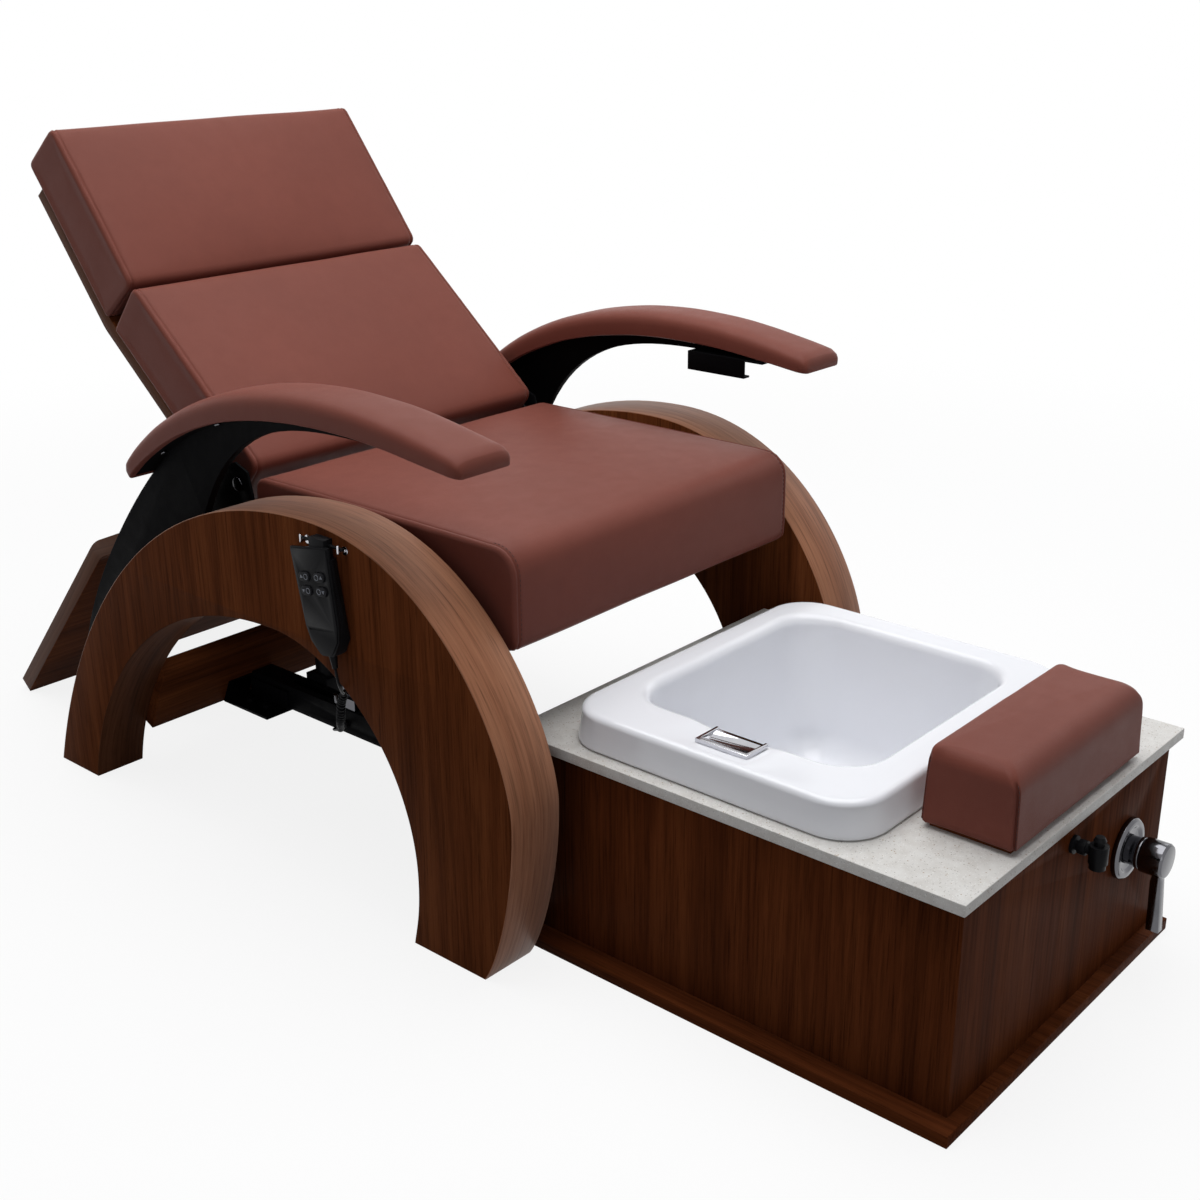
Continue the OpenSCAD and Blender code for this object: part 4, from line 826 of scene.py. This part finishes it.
def make_footrest():
    """Box cushion with a broad front edge, a crisp rear one and a sewn dart down each corner."""
    arc_n, side_n = 10, 26
    stride = arc_n + 1 + side_n
    wall = FOOT_Z0 + 0.0025
    levels = [FOOT_Z0, wall] + [wall + 0.058 * k / 9 for k in range(1, 10)]
    levels += [FOOT_Z1 - FOOT_FRONT_R * (1 - math.sin(math.radians(90 * k / 16))) for k in range(1, 17)]
    rings, darts = [], [[] for _ in range(4)]
    for i, z in enumerate(levels):
        f = (z - FOOT_Z0) / (FOOT_Z1 - FOOT_Z0)
        tuck = FOOT_TUCK if i == 0 else 0.0
        end, front, rear = (eased(z, r) + tuck for r in (FOOT_END_R, FOOT_FRONT_R, FOOT_REAR_R))
        lean = FOOT_LEAN * f
        a, b = FOOT_A - end - lean, FOOT_B - (front + rear) / 2 - lean
        cy = FOOT_Y + (front - rear) / 2
        radius = 0.006 + 0.005 * f ** 6
        ring = []
        for j, p in enumerate(rounded_rect(a, b, radius, arc_n, side_n)):
            corner, at = divmod(j, stride)
            along = max(0.0, 1 - (p.x / FOOT_A) ** 2) * max(0.0, 1 - (p.y / FOOT_B) ** 4)
            swell = FOOT_SWELL * math.sin(math.pi * min(1, 0.12 + f)) * along
            soft = 0.0008 * wave((p.x, p.y, z), 0.05, 4.0)
            q = p + p.normalized() * (swell + soft)
            # the rear corners stay out where the ends round off
            q.x += math.copysign(0.75 * end * max(0.0, p.y / b) ** 3 * (p.x / a) ** 4, p.x)
            if at <= arc_n and f < DART_TOP:
                fade = min(1.0, (DART_TOP - f) / 0.06)
                off = abs(at - arc_n / 2)
                q -= p.normalized() * fade * DART[min(int(off), len(DART) - 1)]
            ring.append((q.x, cy + q.y, z))
            if at == arc_n / 2 + 2 and 0 < i and f < DART_TOP - 0.04:
                darts[corner].append(Vector(ring[-1]))
        rings.append(ring)
    centre = Vector((0, FOOT_Y + (FOOT_FRONT_R - FOOT_REAR_R) / 2))
    last = [Vector(p) for p in rings[-1]]
    for k in range(1, 8):
        share = 1 - k / 8
        ring = []
        for p in last:
            crown = FOOT_CROWN * math.sin(math.pi / 2 * (1 - share))
            soft = 0.0006 * wave(tuple(p * share), 0.05, 4.0) * (1 - share)
            ring.append((p.x * share, centre.y + (p.y - centre.y) * share, FOOT_Z1 + crown + soft))
        rings.append(ring)
    cushion = skin("footrest_leather", rings, "leather")
    place(cushion, "base", "leather", "footrest_cushion")
    for k, line in enumerate(darts):
        out = [Vector((p.x, p.y - FOOT_Y, 0)).normalized() for p in line]
        stitches(f"footrest_stitches_{k + 1}", "base", line, out, FOOT_PITCH)


# ---------- armrests ----------
PAD_LINE = ((0.358, 0.527), (0.278, 0.595), (0.152, 0.667), (-0.078, 0.667), (-0.168, 0.667),
            (-0.216, 0.657), (-0.296, 0.649))   # the strip's top, from the rear over the crest to the front
PAD_W, PAD_T = 0.090, 0.031
PAD_LAP = 0.0055            # how far the leather laps down beside the strip
PAD_LIFT = 0.0004
PAD_NARROW = 0.0085         # how far each side draws in at the ends
PAD_FRONT_R, PAD_REAR_R = 0.014, 0.020
STRIP_HALF = 0.032


def make_pads():
    """Crowned pads whose leather laps over the steel strip's edges and ends."""
    line = resample(curve(PAD_LINE, (40, 24)), 0.008)
    at = ways_along(line)
    total = at[-1]
    ends = [-PAD_LAP, -PAD_LAP + 0.0006, -PAD_LAP + 0.002, -0.0006]
    stations = ends + at + [total - e for e in reversed(ends)]

    def point(s):
        i = next((i for i in range(len(at) - 2) if s <= at[i + 1]), len(at) - 2)
        d = (line[i + 1] - line[i]).normalized()
        return line[i] + d * (s - at[i]), d

    for side, hand in SIDES:
        node = "armrest_pad_" + hand
        rings = []
        for s in stations:
            p, d = point(s)
            up = right_of(d)
            rear, front = s + PAD_LAP, total + PAD_LAP - s
            h = PAD_T * (0.52 + 0.48 * max(0.0, math.sin(math.pi * s / total)) ** 0.55)
            h *= edge_round(rear, 0.014) * edge_round(front, 0.011)
            w = PAD_W / 2 - PAD_NARROW * (1 - edge_round(front, PAD_FRONT_R))
            w -= PAD_NARROW * (1 - edge_round(rear, PAD_REAR_R))
            ring = []
            for x, z in pad_section(w, max(h, 0.0015), 0 <= s <= total):
                over = z + 0.0005 * wave((x, s, z), 0.05, 7 + side) + PAD_LIFT
                ring.append((side * (ARCH_MID + x), p.x + up.x * over, p.y + up.y * over))
            rings.append(ring)
        pad = skin(node + "_leather", rings, "leather", angle=50)
        place(pad, "base", "leather", node)


def edge_round(distance, radius):
    """0 at an end, 1 from one radius on, as a quarter circle."""
    t = max(0.0, min(1.0, distance / radius))
    return math.sqrt(max(0.0, 1 - (1 - t) ** 2))


def pad_section(w, h, over_strip):
    """Half-round top, upright sides and an underside with room for the strip, as (x, z) anticlockwise."""
    out = []
    n = 22
    for k in range(n + 1):
        t = math.pi * k / n
        c = math.cos(t)
        rise = 0.90 * math.sin(t) ** 0.62 if 0 < k < n else 0.0
        out.append((w * math.copysign(abs(c) ** 0.52, c), h * (0.10 + rise)))
    low = -PAD_LAP + 0.0012
    mid = 0.0 if over_strip else -PAD_LAP
    under = ((w, low), (w - 0.0015, -PAD_LAP), (STRIP_HALF + 0.0012, -PAD_LAP), (STRIP_HALF + 0.0004, mid))
    return out + [(-x, z) for x, z in under] + list(reversed(under))


# ---------- bent panels ----------
BEND_STEPS = 8
PANEL_HALF, PANEL_BEND = span("back_panel", "x")[1], 0.060
LEG_HALF, LEG_BEND, LEG_T = span("rear_leg_panel", "x")[1], 0.050, 0.028
LEG_FOOT = Vector((0.920, 0))
LEG_LOW_L, LEG_UP_L = 0.412, 0.300
LEG_LOW, LEG_UP = math.radians(47.6), math.radians(22)


def bend_arcs(centre, radius, thick, a0, a1):
    """The inner and outer arc of a bent board, from the angle a0 to a1."""
    ways = [a0 + (a1 - a0) * k / BEND_STEPS for k in range(BEND_STEPS + 1)]
    return [[centre + heading(a) * r for a in ways] for r in (radius, radius + thick)]


def make_back_panel():
    """Bent board behind the back cushions, its side edges left bare."""
    low, up = heading(SLOPE_LOW), heading(SLOPE_UP)
    out_low, out_up = right_of(low), right_of(up)
    centre = KNEE - low * PANEL_BEND * math.tan((SLOPE_UP - SLOPE_LOW) / 2) - out_low * PANEL_BEND
    front, rear = bend_arcs(centre, PANEL_BEND, PANEL_T, SLOPE_LOW - math.pi / 2, SLOPE_UP - math.pi / 2)
    start, end = KNEE - low * BACK_LOW_L, KNEE + up * BACK_UP_L
    outline = [start] + front + [end, end + out_up * PANEL_T] + rear[::-1] + [start + out_low * PANEL_T]
    panel = slab("back_panel_veneered", outline, -PANEL_HALF, PANEL_HALF, ("ply_edge", "panel"))
    place(panel, "back", "walnut_veneer", "back_panel")


def make_rear_leg():
    low = Vector((-math.cos(LEG_LOW), math.sin(LEG_LOW)))
    up = Vector((-math.cos(LEG_UP), math.sin(LEG_UP))) * LEG_UP_L
    out = right_of(low)
    centre = LEG_FOOT + low * LEG_LOW_L - out * LEG_BEND
    under, over = bend_arcs(centre, LEG_BEND, LEG_T, math.pi / 2 - LEG_LOW, math.pi / 2 - LEG_UP)
    outline = [LEG_FOOT] + under + [under[-1] + up, over[-1] + up] + over[::-1] + [LEG_FOOT + out * LEG_T]
    leg = slab("rear_leg_veneered", outline, -LEG_HALF, LEG_HALF, ("ply_edge", "panel"))
    place(leg, "base", "walnut_veneer", "rear_leg_panel")


# ---------- basin ----------
BASIN_A = span("basin", "x")[1]
BASIN_B, BASIN_Y = half_span("basin", "y")
BOWL_A, BOWL_B, BOWL_X, BOWL_Y = 0.185, 0.1625, 0.020, -0.5355
BOWL_FLOOR, BOWL_FILLET, BOWL_SLOPE = 0.136, 0.048, 0.026
DRAIN_R = 0.0235
SKIRT, RIM_EDGE, FLARE = 0.0020, 0.009, 0.0050
LIP, LIP_DROP = 0.014, 0.0168
DECK_DROP = 0.0016
SPOUT_X, SPOUT_Y, SPOUT_L = -0.222, -0.588, 0.074
CHANNEL_DEPTH = 0.0035


def make_basin():
    """Moulded foot basin: flared skirt, broad rolled rim, dished deck and a bowl with deep fillets."""
    rings = []

    def ring(cx, cy, a, b, r, z):
        rings.append([(cx + p.x, cy + p.y, z) for p in rounded_rect(a, b, r, 14, 12)])

    def outside(inset, r, z):
        ring(0, BASIN_Y, BASIN_A - inset, BASIN_B - inset, r, z)

    def bowl(a, b, r, z):
        ring(BOWL_X, BOWL_Y, a, b, r, z)

    outside(0.006, 0.056, SLAB_TOP + 0.0012)
    outside(0, 0.060, SLAB_TOP + 0.0008)
    for k in range(1, 5):
        f = k / 4
        outside(FLARE * f ** 0.7, 0.060, SLAB_TOP + SKIRT + (RIM_TOP - SLAB_TOP - SKIRT - RIM_EDGE) * f)
    quarter = [math.radians(90 * k / 7) for k in range(8)]
    for t in quarter[1:]:
        outside(FLARE + RIM_EDGE * (1 - math.cos(t)), 0.058 - 0.004 * math.sin(t),
                RIM_TOP - RIM_EDGE + RIM_EDGE * math.sin(t))
    a0, b0 = BASIN_A - FLARE - RIM_EDGE, BASIN_B - FLARE - RIM_EDGE
    a1, b1 = BOWL_A + LIP, BOWL_B + LIP
    for f, drop in ((0.35, 0.0005), (0.7, 0.0012)):
        ring(BOWL_X * f, BASIN_Y + (BOWL_Y - BASIN_Y) * f, a0 + (a1 - a0) * f, b0 + (b1 - b0) * f,
             0.054 + 0.008 * f, RIM_TOP - drop)
    for t in quarter:
        inset = LIP * math.sin(t)
        bowl(a1 - inset, b1 - inset, 0.064 - 0.008 * math.sin(t),
             RIM_TOP - DECK_DROP - LIP_DROP * (1 - math.cos(t)))
    wall_top = RIM_TOP - DECK_DROP - LIP_DROP
    for k in range(1, 6):
        f = k / 5
        bowl(BOWL_A - BOWL_SLOPE * f, BOWL_B - BOWL_SLOPE * f, 0.056 - 0.004 * f,
             wall_top - (wall_top - BOWL_FLOOR - BOWL_FILLET) * f)
    for t in quarter[1:]:
        inset = BOWL_SLOPE + BOWL_FILLET * (1 - math.cos(t)) * 0.9
        bowl(BOWL_A - inset, BOWL_B - inset, max(0.012, 0.052 - 0.030 * math.sin(t)),
             BOWL_FLOOR + 0.0015 + BOWL_FILLET * (1 - math.sin(t)))
    inset = BOWL_SLOPE + BOWL_FILLET * 0.9
    last_a, last_b = BOWL_A - inset, BOWL_B - inset
    for f in (0.35, 0.7):
        bowl(last_a + (DRAIN_R + 0.006 - last_a) * f, last_b + (DRAIN_R + 0.006 - last_b) * f,
             0.022 + (DRAIN_R - 0.022) * f, BOWL_FLOOR + 0.0015 * (1 - f) + 0.0005)
    bowl(DRAIN_R, DRAIN_R, DRAIN_R * 0.999, BOWL_FLOOR)
    basin = skin("basin_acrylic", rings, "acrylic", close=False)
    press_spout_seat(basin)
    fine = basin.modifiers.new("fine", "SUBSURF")
    fine.levels = fine.render_levels = 1
    apply_modifiers(basin)
    place(basin, "base", "basin_white", "basin")


def press_spout_seat(basin):
    """A shallow pressed channel in the deck beside the spout, open to the bowl."""
    def rise(over, width):
        return 1 / (1 + math.exp(-over / width))

    for v in basin.data.vertices:
        x, y, z = v.co
        if z > RIM_TOP - 0.02 and x < BOWL_X - BOWL_A + 0.006:
            across = rise(y - (SPOUT_Y - 0.004), 0.003) * rise(SPOUT_Y + SPOUT_L + 0.026 - y, 0.003)
            v.co.z -= CHANNEL_DEPTH * rise(x - (SPOUT_X - 0.004), 0.002) * across


# ---------- curly cord ----------
CORD_D, CURL_D, CURLS = 0.0036, 0.0126, 40
CURL_RAMP = 2.2             # turns over which the curls widen at each end
CORD_LEAD, CORD_TAIL = 0.084, 0.096
CURL_STEPS, LEAD_STEPS, CORD_SIDES = 20, 20, 10
HAND_BACK_X = -0.3805
HAND_TOP = (-0.0515, 0.516)
HAND_TILT = math.radians(-9.5)
HAND_T = 0.020
CORD_DOWN = Vector((0, math.sin(HAND_TILT), -math.cos(HAND_TILT)))
CORD_EXIT = Vector((HAND_BACK_X - HAND_T / 2, *HAND_TOP)) + CORD_DOWN * 0.1583
CORD_END = Vector((-0.1233, 0.252, 0.084))
CORD_ROUTE = [CORD_EXIT - CORD_DOWN * 0.020, CORD_EXIT, CORD_EXIT + CORD_DOWN * 0.010]
CORD_ROUTE += [Vector(p) * MM for p in (
    (-385, -76, 334), (-370, -62, 316), (-350, -40, 300), (-336, -18, 280), (-326, -2, 256), (-308, 22, 230),
    (-270, 70, 196), (-226, 124, 160), (-186, 176, 126), (-164, 212, 104), (-149, 238, 91))]
CORD_ROUTE += [CORD_END - Vector((0.013, 0, 0)), CORD_END, CORD_END + Vector((0.015, 0, 0))]


def route(t):
    """Catmull-Rom curve through the route's inner points."""
    n = len(CORD_ROUTE) - 3
    u = min(t, n - 1e-6)
    i = int(u)
    f = u - i
    p0, p1, p2, p3 = CORD_ROUTE[i:i + 4]
    curve = 2 * p1 + (p2 - p0) * f + (2 * p0 - 5 * p1 + 4 * p2 - p3) * f ** 2
    return 0.5 * (curve + (3 * p1 - p0 - 3 * p2 + p3) * f ** 3)


def make_cord():
    """One tube: a straight lead, curls that widen and narrow again at their ends, and a straight tail."""
    steps = 800
    last = len(CORD_ROUTE) - 3
    points = [route(last * i / steps) for i in range(steps + 1)]
    at = ways_along(points)
    total = at[-1]
    curly = total - CORD_LEAD - CORD_TAIL

    def centre(s):
        s = min(max(s, 0), total)
        k = next((i for i in range(steps) if at[i + 1] >= s), steps - 1)
        return points[k].lerp(points[k + 1], (s - at[k]) / max(at[k + 1] - at[k], 1e-9))

    turns = CURLS * CURL_STEPS
    ways = [CORD_LEAD * i / LEAD_STEPS for i in range(LEAD_STEPS)]
    ways += [CORD_LEAD + curly * i / turns for i in range(turns + 1)]
    ways += [CORD_LEAD + curly + CORD_TAIL * i / LEAD_STEPS for i in range(1, LEAD_STEPS + 1)]
    path = []
    for s in ways:
        d = (centre(s + 0.0005) - centre(s - 0.0005)).normalized()
        n = d.cross(Vector((0, 1, 1))).normalized()
        b = n.cross(d)
        turn = CURLS * min(max((s - CORD_LEAD) / curly, 0), 1)
        share = min(1, turn / CURL_RAMP, (CURLS - turn) / CURL_RAMP)
        a = 2 * math.pi * turn
        path.append(centre(s) + (n * math.cos(a) + b * math.sin(a)) * share * (CURL_D - CORD_D) / 2)
    round_cord = [2 * math.pi * k / CORD_SIDES for k in range(CORD_SIDES)]
    rings = []
    for i, p in enumerate(path):
        d = (path[min(i + 1, len(path) - 1)] - path[max(i - 1, 0)]).normalized()
        e1 = d.cross(Vector((0.3, 0.2, 0.93))).normalized()
        e2 = d.cross(e1)
        rings.append([p + (e1 * math.cos(a) + e2 * math.sin(a)) * CORD_D / 2 for a in round_cord])
    cord = skin("handset_curly_cord", rings, "rubber")
    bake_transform(cord)
    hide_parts("handset_cord")


# ---------- handset ----------
BUTTONS = {"button_back_up": (-1, 1), "button_back_down": (-1, -1),
           "button_heat": (1, 1), "button_massage": (1, -1)}
BUTTON_X, BUTTON_Y, BUTTON_ROW = 0.0145, 0.009, -0.046
BUTTON_TOP = HAND_T + 0.0019
MARK_H = 0.0005
RING_SIDES = 28
RING_SHAPE = ((0.0029, 0), (0.0031, MARK_H), (0.0037, MARK_H), (0.0039, 0))     # radius, height
RING_OFF, ARROW_OFF = 0.004, 0.0045
ARROW = ((-0.0028, -0.00168), (0.0028, -0.00168), (0, 0.0028))
ARROW_SHAPE = ((1, 0), (0.8, 0.0006))   # share of its size, height


def hand_point(x, y, z):
    """A point of the handset's own frame: x to its right, y up, z out of the arch."""
    c, s = math.cos(HAND_TILT), math.sin(HAND_TILT)
    py, pz = -x, y
    return Vector((HAND_BACK_X - z, HAND_TOP[0] + py * c - pz * s, HAND_TOP[1] + py * s + pz * c))


def make_button_marks():
    """A small raised ring and arrow on each button."""
    turn = [2 * math.pi * k / RING_SIDES for k in range(RING_SIDES)]
    for name, (sx, sy) in BUTTONS.items():
        cx, cy = sx * BUTTON_X, BUTTON_ROW + sy * BUTTON_Y
        verts = [hand_point(cx - RING_OFF * sx + r * math.cos(t), cy + r * math.sin(t), BUTTON_TOP + z)
                 for r, z in RING_SHAPE for t in turn]
        faces = bands(len(RING_SHAPE), RING_SIDES)
        start = len(verts)
        verts += [hand_point(cx + ARROW_OFF * sx + x * share, cy + y * sy * share, BUTTON_TOP + z)
                  for share, z in ARROW_SHAPE for x, y in ARROW]
        faces += bands(2, 3, start) + [(start + 3, start + 4, start + 5)]
        place(build(name + "_mark", verts, faces, "mark"), name, "button_grey")


# ---------- what is carried over from the construction ----------
def make_rigid_pieces():
    for node in ("armrest_support_right", "armrest_support_left", "tray_bracket", "front_crossbar",
                 "rear_crossbar", "seat_rails", "seat_crossbars", "hinge_plates", "back_brackets",
                 "back_crank", "drive_rail", "drive_bracket", "frame_bolts"):
        refined(node, "steel", 0.6)
    for node in ("drain_flange", "drain_stopper", "water_spout", "mixer_valve", "water_inlets",
                 "handset_hooks"):
        refined(node, "chrome", 0.5)
    # these parts get chrome darkened as painted dark reflection
    for node in ("hinge_pins", "drive_slider", "mixer_flange", "mixer_body", "mixer_handle", "pad_screws"):
        refined(node, "chrome_painted_dark_reflection", 0.5)
    for node in ("drive_motor", "control_box", "hose_fitting", "handset_back", "handset_cover"):
        refined(node, "plastic", 0.8, 3)
    refined("cord_gland", "rubber", 0.4)
    for node in BUTTONS:
        refined(node, "button", 0.6, 3)
    refined("countertop", "quartz", 0.9, 3)
    refined("drain_trap", "grey", 0.8)
    for node in ("cabinet_sides", "cabinet_front"):
        refined(node, "cabinet", 0.7)
    for node in ("cabinet_back", "seat_board", "footrest_board"):
        thing = refined(node, "panel", 0.6)
    refined("plinth_board", "board", 0.8)
    refined("rear_stretcher", "panel", 0.9)


make_camera()
make_world()
make_floor()
for lamp, settings in LAMPS.items():
    make_lamp(lamp, *settings)
make_rigid_pieces()
make_arches()
make_seat()
make_back()
make_footrest()
make_pads()
make_back_panel()
make_rear_leg()
make_basin()
make_cord()
make_button_marks()

bpy.context.scene.view_settings.view_transform = "Standard"
bpy.context.view_layer.update()
